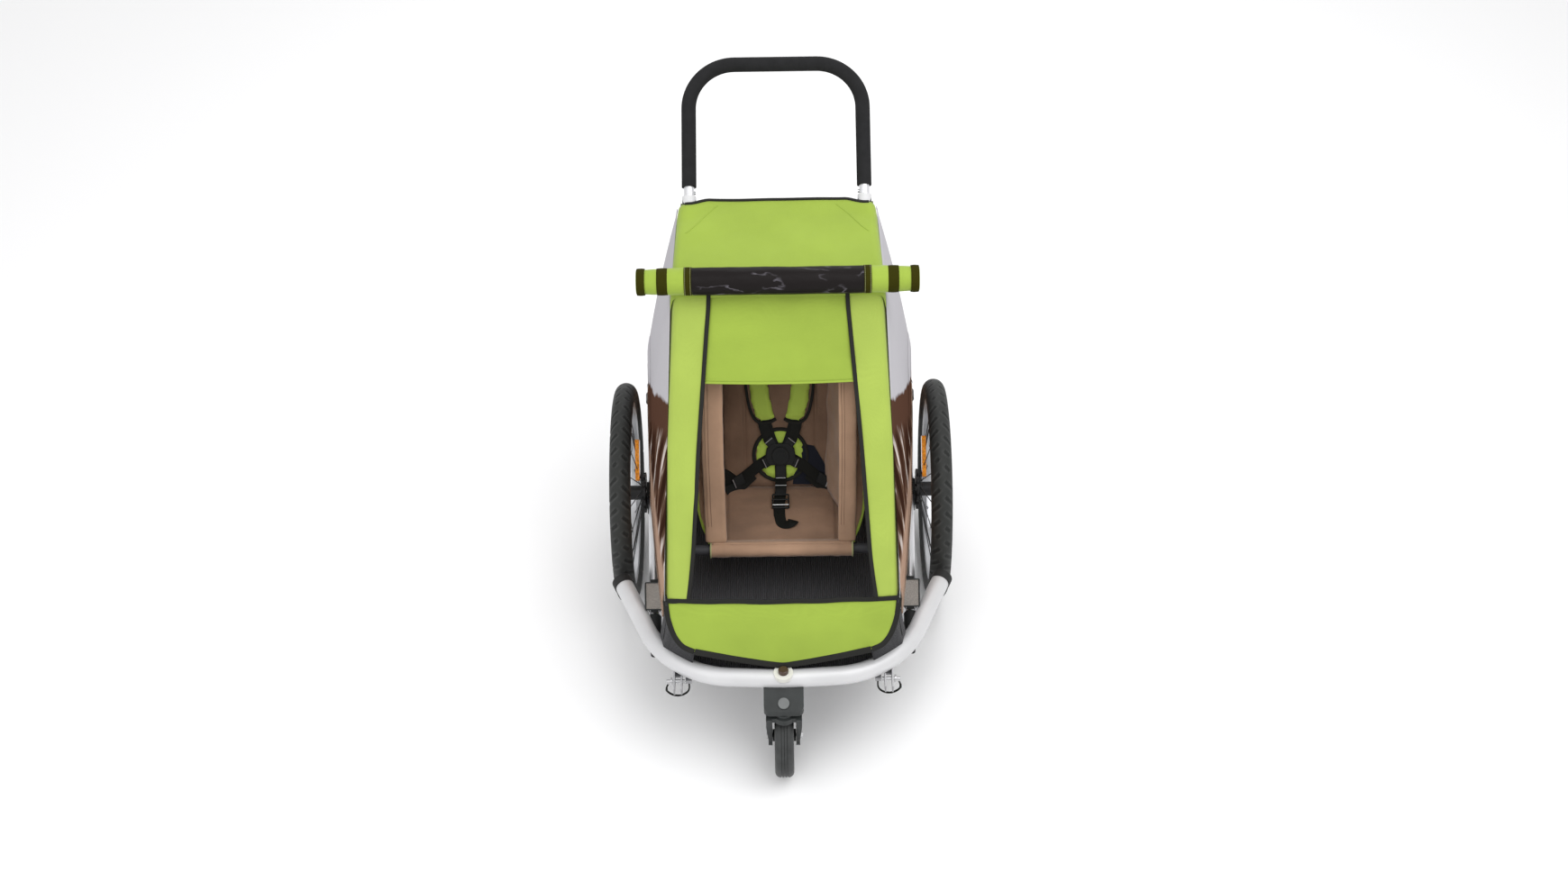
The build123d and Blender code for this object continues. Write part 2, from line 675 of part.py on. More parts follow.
# ---------------------------------------------------------------- hinges on the chassis
def front_hinge_bracket():
    """Upright behind the bow: a cranked plate on a saddle that cups the bow from inside."""
    y, z = HOOP_PIVOT
    crank = trace(Polyline((236, 396), (236, 352), (245, 292), (245, 250)), line_width=5)
    plate = extrude(Plane.XZ.offset(-(y + 13)) * crank, 26)
    saddle = block((236, 276), (y - 13, y + 13), (226, 258))
    saddle = fillet(saddle.edges().filter_by(Axis.Y), 6)
    body = plate + saddle - BOW_CUT - rail_cut(16)
    return body - rod((220, y, z), (260, y, z), PIN_R + RUN_FIT)


def hinge_pin(x_head, x_tip, at):
    """Stepped pin with a round head on its inner end."""
    return rod((x_head, *at), (x_tip, *at), PIN_R) + rod((x_head - 3, *at), (x_head, *at), 7)


def rear_hinge_bracket():
    """Clamp on the side rail with a lug for the strut's pin."""
    y, z = STRUT_PIVOT
    ring = rod(rail_end(y - 14), rail_end(y + 10), 14.5)
    lug = slab_x([(y - 12, 250), (y + 12, 250), (y + 10, z + 12), (y - 10, z + 12)], 284.5, 290)
    return ring + lug - rail_cut() - rod((260, y, z), (300, y, z), PIN_R + RUN_FIT)


# ---------------------------------------------------------------- rear strut
def strut():
    """Welded frame: two splayed legs joined by a low cross tube, with latch studs on top."""
    low = (STRUT_X_PIVOT, *STRUT_PIVOT)
    top = (STRUT_X_TOP, *STRUT_TOP)
    reach = Vector(*top) - Vector(*low)
    start = Vector(*low) - reach.normalized() * 9
    end = Vector(*top) + reach.normalized() * 7
    leg = rod(tuple(start), tuple(end), STRUT_R)
    cross_at = Vector(*low) + reach.normalized() * 62
    cross = rod((-cross_at.X, cross_at.Y, cross_at.Z), (cross_at.X, cross_at.Y, cross_at.Z), 8)
    stud = rod((STRUT_X_TOP - 4, *STRUT_TOP), (183, *STRUT_TOP), PIN_R)
    body = leg + mirrored(leg) + cross + stud + mirrored(stud)
    core = rod(tuple(start - reach.normalized()), tuple(end + reach.normalized()), STRUT_R - TUBE_WALL)
    keep = rod((STRUT_X_TOP - 4, *STRUT_TOP), (183, *STRUT_TOP), PIN_R)
    body = body - core - mirrored(core) + keep + mirrored(keep)
    bore = rod((230, *STRUT_PIVOT), (300, *STRUT_PIVOT), PIN_R + RUN_FIT)
    save("rear_strut", body - bore - mirrored(bore))


def hinges():
    save("hinge_brackets", *both(front_hinge_bracket()), *both(rear_hinge_bracket()))
    save("hinge_pins", *both(hinge_pin(208, 239, HOOP_PIVOT)), *both(hinge_pin(259, 290, STRUT_PIVOT)))
    strut()


# ---------------------------------------------------------------- handle
def handle_points(start):
    right = [on_handle(RIGHT, start), on_handle(RIGHT, HANDLE_REACH)]
    return right + [(-x, y, z) for x, y, z in reversed(right)]


SNAP_REACH = 50.0


def snap_button(side):
    y, z = on_handle(side, SNAP_REACH)[1:]
    near, far = side * (HOOP_X_REAR - 14.0), side * (HOOP_X_REAR - 6.0)
    return rod((near, y, z), (far, y, z), 3.5)


def handle():
    bends = [HANDLE_BEND, HANDLE_BEND]
    tube = bent(handle_points(-30), bends, HANDLE_R, HANDLE_R - TUBE_WALL)
    for side in SIDES.values():
        y, z = on_handle(side, SNAP_REACH)[1:]
        tube -= rod((side * 168, y, z), (side * HOOP_X_REAR, y, z), 3.5 + RUN_FIT)
    save("handle_tube", tube)
    save("handle_foam", bent(handle_points(FOAM_START), bends, FOAM_R, HANDLE_R + RUN_FIT))
    for name, side in SIDES.items():
        save(f"snap_button_{name}", snap_button(side))


# ---------------------------------------------------------------- soft body
SKIN = 2.5
STATIONS = [                     # y, then half-width and height of hem, waist and top edge
    (320, (306, 267), (302, 300), (287, 330)),
    (235, (303, 266), (294, 470), (204, 883)),
    (-45, (287, 265), (281, 470), (212, 890)),
    (-250, (266, 292), (262, 420), (226, 640)),
    (-444, (243.5, 345), (242.5, 372), (241.5, 402)),
]


def side_section(y, corners):
    """Thin closed section of the side wall at one station."""
    outer = [(x, y, z) for x, z in corners]
    inner = [(x - SKIN, y, z) for x, z in reversed(corners)]
    return make_face(Polyline(*outer, *inner, close=True))


def side_wall():
    return loft([side_section(y, corners) for y, *corners in STATIONS], ruled=True)


def front_strip():
    """Sloping cloth border beside the front opening."""
    outer = [(-74, 857, 206), (-446, 401, 238)]
    inner = [(-74, 857, 140), (-446, 401, 184)]
    corners = [(x, y, z) for y, z, x in outer] + [(x, y, z) for y, z, x in reversed(inner)]
    face = make_face(Polyline(*corners, close=True))
    return extrude(face, SKIN, dir=(0, 0.775, -0.632))


def sheet_between(low_line, high_line, thick):
    """Thin ruled panel between two (half-width, y, z) lines."""
    def section(line):
        half, y, z = line
        points = [(-half, y, z), (half, y, z), (half, y - thick, z), (-half, y - thick, z)]
        return make_face(Polyline(*points, close=True))
    return loft([section(low_line), section(high_line)], ruled=True)


def canopy_roof():
    def section(half, y, z):
        points = [(-half, y, z - FABRIC), (half, y, z - FABRIC), (half, y, z), (-half, y, z)]
        return make_face(Polyline(*points, close=True))
    roof = loft([section(204, 236, 888), section(212, -45, 895)], ruled=True)
    leg = rod(on_handle(RIGHT, 0), on_handle(RIGHT, 60), SOCKET_R + 1)
    return roof - leg - mirrored(leg)


def rear_panel():
    upper = sheet_between((283, 327, 330), (199, 239, 883), FABRIC)
    lower = sheet_between((297, 327, 267), (283, 327, 330), FABRIC)
    leg = rod(on_handle(RIGHT, 0), on_handle(RIGHT, 60), SOCKET_R + 1)
    return upper + lower - leg - mirrored(leg)


def cover_roll():
    """Front cover rolled up on the roof's leading edge."""
    roll = rod((-281, -66, 921), (281, -66, 921), 29)
    return fillet(roll.edges().filter_by(GeomType.CIRCLE), 5)


def sunshade():
    """Short cloth flap under the roll."""
    corners = [(-140, -84, 858), (140, -84, 858), (149, -186, 740), (-149, -186, 740)]
    return extrude(make_face(Polyline(*corners, close=True)), SKIN, dir=(0, -0.757, 0.654))


BACK_FOOT = (-88.0, 345.0)
BACK_TOP = (140.0, 830.0)


BOLSTER_LOW = (-268.0, 400.0)
BOLSTER_TOP = (-75.0, 770.0)


def seat():
    """Sling seat: reclined back, short pan and side wings with rolled edges."""
    back = [(BACK_FOOT[0], BACK_FOOT[1]), BACK_TOP, (BACK_TOP[0] + 12, BACK_TOP[1] - 4),
            (BACK_FOOT[0] + 14, BACK_FOOT[1] - 14), (-274, 352), (-274, 366)]
    sling = slab_x(back, -SEAT_HALF, SEAT_HALF)
    wing = slab_x([(-266, 360), (BACK_FOOT[0], BACK_FOOT[1] + 6), (125, 800), BOLSTER_TOP, BOLSTER_LOW], 140, 144)
    bolster = rod((132, *BOLSTER_LOW), (132, *BOLSTER_TOP), 13)
    wing += bolster
    return sling + wing + mirrored(wing)


def on_back(z, lift):
    """Point on the backrest's front face, lifted off it."""
    share = (z - BACK_FOOT[1]) / (BACK_TOP[1] - BACK_FOOT[1])
    y = BACK_FOOT[0] + share * (BACK_TOP[0] - BACK_FOOT[0])
    recline = math.atan2(BACK_TOP[0] - BACK_FOOT[0], BACK_TOP[1] - BACK_FOOT[1])
    return (y - lift * math.cos(recline), z + lift * math.sin(recline))


def back_slab(x_low, x_high, z_low, z_high, lift, thick):
    """Flat piece lying on the backrest."""
    near = [on_back(z_low, lift), on_back(z_high, lift)]
    far = [on_back(z_high, lift + thick), on_back(z_low, lift + thick)]
    return slab_x(near + far, x_low, x_high)


BUCKLE_Z = 421.0


def harness():
    """Five-point harness: webbing, shoulder pads, belly pad, buckle and adjusters."""
    pad = back_slab(11, 64, 490, 620, 1, 9)
    strap = back_slab(30, 55, BUCKLE_Z + 36, 488, 1, 2)
    upper = back_slab(30, 55, 622, 780, 1, 2)
    hip = back_slab(36, 120, BUCKLE_Z - 52, BUCKLE_Z - 30, 1, 2)
    crotch = back_slab(-12.5, 12.5, 352, BUCKLE_Z - 33, 1, 2)
    belly_pad = rod((0, *on_back(BUCKLE_Z, 4)), (0, *on_back(BUCKLE_Z, 10.5)), 57)
    save("harness_straps", *both(pad), *both(strap), *both(upper), *both(hip), crotch, belly_pad)
    body_low, body_high = on_back(BUCKLE_Z, 11), on_back(BUCKLE_Z, 25)
    shell = rod((0, *body_low), (0, *body_high), 24)
    bore = rod((0, *on_back(BUCKLE_Z, 15)), (0, *on_back(BUCKLE_Z, 30)), 12 + RUN_FIT)
    shell = fillet(shell.edges().filter_by(GeomType.CIRCLE), 3) - bore
    save("buckle_button", rod((0, *on_back(BUCKLE_Z, 19)), (0, *on_back(BUCKLE_Z, 27)), 12))
    adjuster = back_slab(26, 59, 476, 487, 4, 4)
    ladder = back_slab(-17, 17, 349, 364, 4, 4)
    save("harness_buckles", shell, *both(adjuster), ladder)


def soft_body():
    save("canopy_walls", *both(side_wall()), *both(front_strip()), rear_panel(), sunshade())
    save("canopy_roof", canopy_roof())
    save("cover_roll", cover_roll())
    save("seat_sling", seat())
    harness()


def main():
    os.makedirs("parts", exist_ok=True)
    chassis()
    wheels()
    brake_pedal()
    brake_pins()
    caster()
    hitch()
    hoop()
    hinges()
    handle()
    soft_body()
    print("origin shift", round(ORIGIN_SHIFT, 2))


main()
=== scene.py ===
import math

import bmesh
import bpy
import numpy as np
from mathutils import Matrix, Vector, noise


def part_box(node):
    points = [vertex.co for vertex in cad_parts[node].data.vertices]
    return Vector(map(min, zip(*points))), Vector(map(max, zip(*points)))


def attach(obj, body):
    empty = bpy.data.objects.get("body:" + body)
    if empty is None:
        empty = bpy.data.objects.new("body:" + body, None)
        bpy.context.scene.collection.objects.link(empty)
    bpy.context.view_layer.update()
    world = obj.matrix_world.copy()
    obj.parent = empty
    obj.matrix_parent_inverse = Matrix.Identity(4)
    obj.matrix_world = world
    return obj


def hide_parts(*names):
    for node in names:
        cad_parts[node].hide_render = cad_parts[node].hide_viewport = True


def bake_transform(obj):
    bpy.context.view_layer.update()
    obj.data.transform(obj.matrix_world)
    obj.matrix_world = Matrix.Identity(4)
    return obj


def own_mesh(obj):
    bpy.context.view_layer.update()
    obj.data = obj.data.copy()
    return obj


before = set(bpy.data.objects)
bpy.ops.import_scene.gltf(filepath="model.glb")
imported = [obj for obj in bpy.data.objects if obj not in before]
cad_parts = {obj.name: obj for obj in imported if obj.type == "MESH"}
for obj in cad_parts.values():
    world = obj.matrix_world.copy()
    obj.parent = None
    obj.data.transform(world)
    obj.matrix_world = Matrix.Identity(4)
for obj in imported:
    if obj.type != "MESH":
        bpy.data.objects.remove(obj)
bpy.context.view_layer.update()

# ---- places
TYRE_LOW, TYRE_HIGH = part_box("tyre_left")
AXLE_Y = (TYRE_LOW.y + TYRE_HIGH.y) / 2
WHEEL_R = (TYRE_HIGH.z - TYRE_LOW.z) * 500         # millimetres, as are all names below
WHEEL_X = -(TYRE_LOW.x + TYRE_HIGH.x) * 500
TYRE_HALF = (TYRE_HIGH.x - TYRE_LOW.x) * 500
SIDES = {"left": -1, "right": 1}

STRIP_TOP = (-74.0, 857.0)         # the sloping front border and the backrest, as (y, z)
STRIP_LOW = (-446.0, 401.0)
BACK_FOOT = (-88.0, 345.0)
BACK_TOP = (140.0, 830.0)
RECLINE = math.atan2(BACK_TOP[0] - BACK_FOOT[0], BACK_TOP[1] - BACK_FOOT[1])
WALL = [                           # side wall: y, then half-width and height at hem, waist and top
    (320, (306, 267), (302, 300), (287, 330)),
    (235, (303, 266), (294, 470), (204, 883)),
    (-45, (287, 265), (281, 470), (212, 890)),
    (-250, (266, 292), (262, 420), (226, 640)),
    (-444, (243.5, 345), (242.5, 372), (241.5, 402)),
]


def crumple(piece):
    """Cloth of the chassis: it gets a mesh of its own and rides the chassis body."""
    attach(piece, "chassis")
    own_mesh(piece)


def at(x, y, z):
    """A point in metres from millimetres: y from the wheels' axle, z from the ground."""
    return Vector((x / 1000, AXLE_Y + y / 1000, z / 1000))


def lerp(a, b, share):
    return a + (b - a) * share


def ease(share):
    share = min(max(share, 0.0), 1.0)
    return share * share * (3 - 2 * share)


def arch(share):
    """Half a wave: 0 at both ends of a share that goes from 0 to 1, and 1 in the middle."""
    return math.sin(math.pi * share)


def bell(distance, width):
    return math.exp(-(distance / width) ** 2)


def between(value, places, values):
    """The value read from a line through places and values, and held beyond its ends."""
    return float(np.interp(value, places, values))


def rough_at(x, y, z):
    """Smooth noise at three plain numbers."""
    return noise.noise(Vector((x, y, z)))


def net(down, across, point):
    """Rows of point(share down, share across), whose shares go from 0 to 1 in so many steps."""
    return [[point(j / down, i / across) for i in range(across + 1)] for j in range(down + 1)]


# ---- materials
class Look:
    """One material and short calls that add nodes to it."""

    def __init__(self, name, colour, roughness, **sockets):
        self.material = bpy.data.materials.new(name)
        self.material.use_nodes = True
        self.tree = self.material.node_tree
        self.shader = self.tree.nodes["Principled BSDF"]
        self.colour = colour
        self.shader.inputs["Base Color"].default_value = (*colour, 1)
        self.shader.inputs["Roughness"].default_value = roughness
        for socket, value in sockets.items():
            self.shader.inputs[socket.replace("_", " ")].default_value = value
        self.place = self.tree.nodes.new("ShaderNodeTexCoord").outputs["Object"]
        self.height = None

    def node(self, kind, inputs=(), **settings):
        made = self.tree.nodes.new("ShaderNode" + kind)
        for key, value in settings.items():
            setattr(made, key, value)
        for key, value in dict(inputs).items():
            if isinstance(value, bpy.types.NodeSocket):
                self.tree.links.new(value, made.inputs[key])
            else:
                made.inputs[key].default_value = value
        return made

    def math(self, operation, a, b=0.0):
        return self.node("Math", {0: a, 1: b}, operation=operation).outputs[0]

    def noise(self, scale, detail=3.0, place=None):
        made = self.node("TexNoise", {"Vector": place or self.place, "Scale": scale, "Detail": detail})
        return made.outputs["Fac"]

    def stretched(self, x, y, z):
        made = self.node("VectorMath", {0: self.place, 1: (x, y, z)}, operation="MULTIPLY")
        return made.outputs[0]

    def split(self):
        """The place on the object as three sockets: x, y and z."""
        return self.node("SeparateXYZ", {0: self.place}).outputs

    def weave(self, pitch):
        """Plain weave on any surface: crossed sines in the plane that the surface faces."""
        split = self.split()
        normal = self.node("SeparateXYZ", {0: self.node("NewGeometry").outputs["Normal"]}).outputs
        waves = [self.math("SINE", self.math("MULTIPLY", axis, 2 * math.pi / pitch)) for axis in split]
        total = None
        for across in range(3):
            pair = [waves[i] for i in range(3) if i != across]
            cloth = self.math("MULTIPLY", *pair)
            facing = self.math("POWER", self.math("ABSOLUTE", normal[across]), 2.0)
            share = self.math("MULTIPLY", cloth, facing)
            total = share if total is None else self.math("ADD", total, share)
        return total

    def bump(self, height, strength, distance):
        """Adds a bump on top of those before it."""
        inputs = {"Height": height, "Strength": strength, "Distance": distance}
        if self.height is not None:
            inputs["Normal"] = self.height
        self.height = self.node("Bump", inputs).outputs["Normal"]
        self.tree.links.new(self.height, self.shader.inputs["Normal"])
        return self

    def vary(self, driver, low, high, first=0.3, last=0.7):
        """Base colour from a ramp between two shades of the material's colour."""
        ramp = self.node("ValToRGB", {"Fac": driver})
        ramp.color_ramp.elements[0].position = first
        ramp.color_ramp.elements[1].position = last
        ramp.color_ramp.elements[0].color = (*[c * low for c in self.colour], 1)
        ramp.color_ramp.elements[1].color = (*[min(c * high, 1) for c in self.colour], 1)
        return self.coloured(ramp.outputs["Color"])

    def rough(self, driver, low, high):
        spread = self.span(driver, 0.0, 1.0, low, high)
        self.tree.links.new(spread, self.shader.inputs["Roughness"])
        return self

    def span(self, driver, start, end, low=0.0, high=1.0):
        """Carries values between start and end to values between low and high."""
        inputs = {"Value": driver, "From Min": start, "From Max": end, "To Min": low, "To Max": high}
        return self.node("MapRange", inputs).outputs["Result"]

    def mix(self, share, under, over, blend="MIX"):
        """One colour over another, each a socket or (red, green, blue)."""
        inputs = {0: share}
        for key, colour in ((1, under), (2, over)):
            inputs[key] = (*colour, 1) if isinstance(colour, tuple) else colour
        return self.node("MixRGB", inputs, blend_type=blend).outputs[0]

    def coloured(self, socket):
        self.tree.links.new(socket, self.shader.inputs["Base Color"])
        return self


def metal(name, colour, roughness, scratches=0.02):
    look = Look(name, colour, roughness, Metallic=1.0)
    grain = look.noise(900, 4)
    look.bump(grain, scratches, 0.0002)
    look.vary(look.noise(25), 0.93, 1.04)
    return look.rough(look.noise(60), roughness * 0.85, roughness * 1.2)


def bow_metal():
    """Bead-blasted and clear-anodised tube: bright, with broad soft highlights."""
    look = Look("anodised_bow", (0.60, 0.60, 0.61), 0.42, Metallic=0.15)
    look.bump(look.noise(1100, 3), 0.03, 0.0002)
    return look.vary(look.noise(12), 0.96, 1.03)


def moulded(name, colour, roughness=0.5, grain=0.12, shine=0.25):
    look = Look(name, colour, roughness, Specular_IOR_Level=shine)
    look.bump(look.noise(1400, 2), grain, 0.0003)
    look.vary(look.noise(40), 0.88, 1.12)
    return look.rough(look.noise(120), roughness * 0.9, roughness * 1.15)


def cloth(name, colour, pitch=0.0011, sheen=0.12, roughness=0.75, wrinkle=0.22, low=0.93, high=1.05,
          shine=0.25):
    """Woven cloth: broad and fine wrinkles, a weave of pitch metres, and patches from low to high."""
    look = Look(name, colour, roughness, Sheen_Weight=sheen, Sheen_Roughness=0.4,
                Specular_IOR_Level=shine)
    look.bump(look.noise(14, 4), wrinkle, 0.008)
    look.bump(look.noise(70, 3), wrinkle * 0.5, 0.002)
    look.bump(look.weave(pitch), 0.35, 0.0004)
    return look.vary(look.noise(9, 5), low, high)


def lens(name, colour, cell=0.0045, **sockets):
    look = Look(name, colour, 0.12, Coat_Weight=0.6, Coat_Roughness=0.05, **sockets)
    cells = look.node("TexVoronoi", {"Vector": look.place, "Scale": 1 / cell}, distance="CHEBYCHEV")
    look.bump(cells.outputs["Distance"], 0.7, 0.0012)
    return look.vary(cells.outputs["Distance"], 0.6, 1.25, 0.05, 0.7)


def corner_look():
    """Black moulded socket with a bright collar at its top."""
    black = (0.02, 0.02, 0.021)
    look = Look("corner_plastic", black, 0.45, Specular_IOR_Level=0.25)
    collar_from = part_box("roof_corners")[1].z - 0.013
    collar = look.math("GREATER_THAN", look.split()[2], collar_from)
    return look.coloured(look.mix(collar, black, (0.62, 0.62, 0.63)))


def plug_look():
    """Dark brown knob on a milky washer: the washer is the part nearest the tube."""
    brown = (0.05, 0.025, 0.015)
    look = Look("plug_plastic", brown, 0.28)
    washer_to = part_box("bow_centre_plug")[0].z + 0.0101
    washer = look.math("LESS_THAN", look.split()[2], washer_to)
    return look.coloured(look.mix(washer, brown, (0.72, 0.71, 0.66)))


def tyre_look():
    """Black rubber, with a painted highlight in lighter grey along the edges of its grooves."""
    look = Look("tyre_rubber", (0.024, 0.025, 0.024), 0.6, Specular_IOR_Level=0.2)
    look.bump(look.noise(700, 3), 0.15, 0.0004)
    # painted highlight: the convex groove edges, found by pointiness, are coloured lighter grey
    painted_edge_highlight = look.span(look.node("NewGeometry").outputs["Pointiness"], 0.505, 0.56)
    look.coloured(look.mix(painted_edge_highlight, (0.017, 0.018, 0.017), (0.09, 0.093, 0.09)))
    return look.rough(look.noise(50), 0.45, 0.7)


def caster_rubber_look():
    look = Look("caster_rubber", (0.036, 0.038, 0.038), 0.5, Specular_IOR_Level=0.3)
    look.bump(look.noise(600, 3), 0.12, 0.0003)
    return look.vary(look.noise(50, 3), 0.8, 1.25)


def mesh_cloth_look():
    """Black ribbed mesh: fine ribs along the trailer, with a painted highlight on their crests and painted
    shade between them.
    """
    look = Look("ribbed_mesh", (0.022, 0.022, 0.026), 0.6, Sheen_Weight=0.3)
    rib_pitch = 0.0046
    ribs = look.math("SINE", look.math("MULTIPLY", look.split()[0], 2 * math.pi / rib_pitch))
    look.bump(ribs, 0.6, 0.0015)
    look.bump(look.weave(0.0022), 0.5, 0.0006)
    # painted highlight on the rib crests and painted shade in the troughs, from the rib wave
    return look.vary(look.math("MULTIPLY", look.math("ADD", ribs, 1.0), 0.5), 0.6, 2.2, 0.2, 0.95)


def film_line(look):
    """How far a point of the side lies above the slanted line where the plain window film begins."""
    slant, height_at_axle = 0.75, 0.577
    split = look.split()
    from_axle = look.math("SUBTRACT", split[1], AXLE_Y)
    tilted = look.math("ADD", split[2], look.math("MULTIPLY", from_axle, slant))
    wavy = look.math("MULTIPLY", look.noise(26, 2), 0.03)
    return look.math("SUBTRACT", look.math("ADD", tilted, wavy), height_at_axle)


def window_look():
    """Side film with painted light: pale above, that tint partly a painted reflection of the bright
    surroundings; below the slanted line painted dark shade of the cabin seen through it, with upright
    painted glint lines as reflections of its folds; plain brown cloth at the hem.
    """
    # IOR 1 gives the film no reflections of its own; they are painted into its colour below
    look = Look("side_window", (0.43, 0.42, 0.46), 0.4, IOR=1.0)
    above = film_line(look)
    # streak: upright noise that places the painted glint lines and also bumps the film's folds
    streak = look.noise(1.0, 4, look.stretched(0.0, 34.0, 5.0))
    wide = look.noise(1.0, 2, look.stretched(0.0, 9.0, 4.0))
    # ramp from painted dark shade through brown to a pale painted glint
    ramp = look.node("ValToRGB", {"Fac": streak})
    shades = ramp.color_ramp.elements
    shades[0].position, shades[0].color = 0.45, (0.05, 0.022, 0.014, 1)
    shades[1].position, shades[1].color = 0.54, (0.16, 0.095, 0.065, 1)
    shades.new(0.6).color = (0.66, 0.58, 0.54, 1)
    # painted reflections: pale upright lines on the painted shade, in broad patches of strength
    painted_glints = look.mix(1.0, ramp.outputs[0], look.span(wide, 0.35, 0.6, 0.55, 1.0), "MULTIPLY")
    # a plain band of painted dark shade just under the line, without glint lines
    plain_shade_band = look.span(above, -0.11, -0.07)
    # behind: painted cabin shade and painted glint lines together
    behind = look.mix(plain_shade_band, painted_glints, (0.085, 0.042, 0.028))
    over_hem = look.span(look.split()[2], 0.425, 0.455)
    low = look.mix(over_hem, (0.40, 0.265, 0.195), behind)
    # pale film tint above the line, partly a painted reflection of the bright surroundings
    look.coloured(look.mix(look.span(above, -0.004, 0.006), low, (0.47, 0.46, 0.485)))
    look.bump(look.noise(9, 2), 0.12, 0.01)
    look.bump(streak, 0.25, 0.004)
    return look


def film_look():
    """Tinted film of the rear window: clear, glossy and gently rippled."""
    look = Look("window_film", (0.33, 0.32, 0.35), 0.3, Specular_IOR_Level=0.15, Alpha=0.95)
    look.bump(look.noise(9, 2), 0.12, 0.01)
    return look.rough(look.noise(30), 0.1, 0.2)


def dark_film_look():
    """Dark vinyl of the rolled cover, with crossing creases whose catching of the light is painted as pale
    lines.
    """
    dark = (0.013, 0.011, 0.011)
    look = Look("dark_film", dark, 0.34, Specular_IOR_Level=0.05)
    creases = look.noise(11, 4, look.stretched(1.0, 2.4, 2.4))
    ridge = look.math("ABSOLUTE", look.math("SUBTRACT", creases, 0.5))
    # painted highlight: pale lines along the crease ridges, shown only in random patches
    light = look.span(ridge, 0.0, 0.022, 1.0, 0.0)
    patch = look.span(look.noise(16, 2), 0.5, 0.62)
    look.coloured(look.mix(look.math("MULTIPLY", light, patch), dark, (0.14, 0.13, 0.15)))
    look.bump(creases, 0.5, 0.01)
    return look.rough(creases, 0.3, 0.45)


M = {
    "aluminium": metal("satin_aluminium", (0.80, 0.80, 0.82), 0.36),
    "bow": bow_metal(),
    "rim": metal("rim_metal", (0.60, 0.61, 0.63), 0.3),
    "steel": metal("zinc_steel", (0.50, 0.50, 0.51), 0.34, 0.04),
    "black_metal": moulded("black_coat", (0.02, 0.02, 0.021), 0.38, 0.05),
    "dark_tube": moulded("dark_powder_coat", (0.045, 0.045, 0.05), 0.42, 0.05),
    "black_plastic": moulded("black_plastic", (0.016, 0.017, 0.017), 0.48, shine=0.15),
    "charcoal": moulded("charcoal_plastic", (0.027, 0.030, 0.030), 0.45, 0.1),
    "grey_plastic": moulded("grey_plastic", (0.15, 0.157, 0.157), 0.45, 0.05),
    "plug": plug_look(),
    "corner": corner_look(),
    "cast": metal("cast_metal", (0.34, 0.34, 0.35), 0.5),
    "rubber": moulded("black_rubber", (0.02, 0.02, 0.02), 0.62),
    "foam": moulded("foam", (0.016, 0.016, 0.017), 0.85, 0.45, 0.15),
    "lens_clear": lens("clear_lens", (0.24, 0.215, 0.19), 0.0014, Alpha=0.96),
    "lens_red": lens("red_lens", (0.5, 0.02, 0.015)),
    "lens_amber": lens("amber_lens", (0.95, 0.30, 0.02)),
    "green": cloth("green_cloth", (0.295, 0.405, 0.052)),
    # strip: the canopy green painted lighter, as painted light on the sloping front borders
    "strip": cloth("strip_cloth_painted_light", (0.345, 0.45, 0.078)),
    "brown": cloth("brown_cloth", (0.30, 0.195, 0.135)),
    "navy": cloth("navy_cloth", (0.006, 0.008, 0.016)),
    # pad: the canopy green painted much lighter, as painted light on the pads and the seat's green edge
    "pad": cloth("pad_cloth_painted_light", (0.44, 0.60, 0.09)),
    # One seat cloth in lit and shaded copies: seat painted lighter for the front parts, seat_side lighter
    # still as painted light in its recess, seat_pan and seat_back darker as painted shade inside the cabin
    "seat": cloth("seat_cloth_painted_light", (0.415, 0.258, 0.168), 0.0009, 0.25, 0.82, 0.6, 0.76, 1.14),
    "seat_side": cloth("seat_side_cloth_painted_light", (0.55, 0.345, 0.23), 0.0009, 0.2, 0.82, 0.5, 0.88, 1.08),
    "seat_pan": cloth("seat_pan_cloth_painted_shade", (0.27, 0.165, 0.108), 0.0009, 0.2, 0.82, 0.7, 0.74, 1.16),
    "seat_back": cloth("seat_back_cloth_painted_shade", (0.22, 0.135, 0.088), 0.0009, 0.2, 0.82, 0.7, 0.74, 1.16),
    "black_cloth": cloth("black_cloth", (0.022, 0.022, 0.025), 0.0012),
    "binding": cloth("binding_tape", (0.018, 0.018, 0.016), 0.0008, 0.02, 0.7, 0.1, shine=0.15),
    "olive": cloth("olive_band", (0.032, 0.030, 0.003), 0.001, 0.0, 0.7, 0.1, shine=0.03),
    "webbing": cloth("webbing", (0.010, 0.0105, 0.009), 0.0016, 0.0, 0.6, 0.08, shine=0.12),
    "thread": cloth("thread", (0.36, 0.38, 0.18), 0.0005),
    "dark_thread": cloth("dark_thread", (0.10, 0.055, 0.035), 0.0005, 0.0),
    "tyre": tyre_look(),
    "caster_rubber": caster_rubber_look(),
    "mesh": mesh_cloth_look(),
    "film": film_look(),
    "dark_film": dark_film_look(),
    "window": window_look(),
    "floor": Look("floor", (0.93, 0.93, 0.935), 0.85),
}


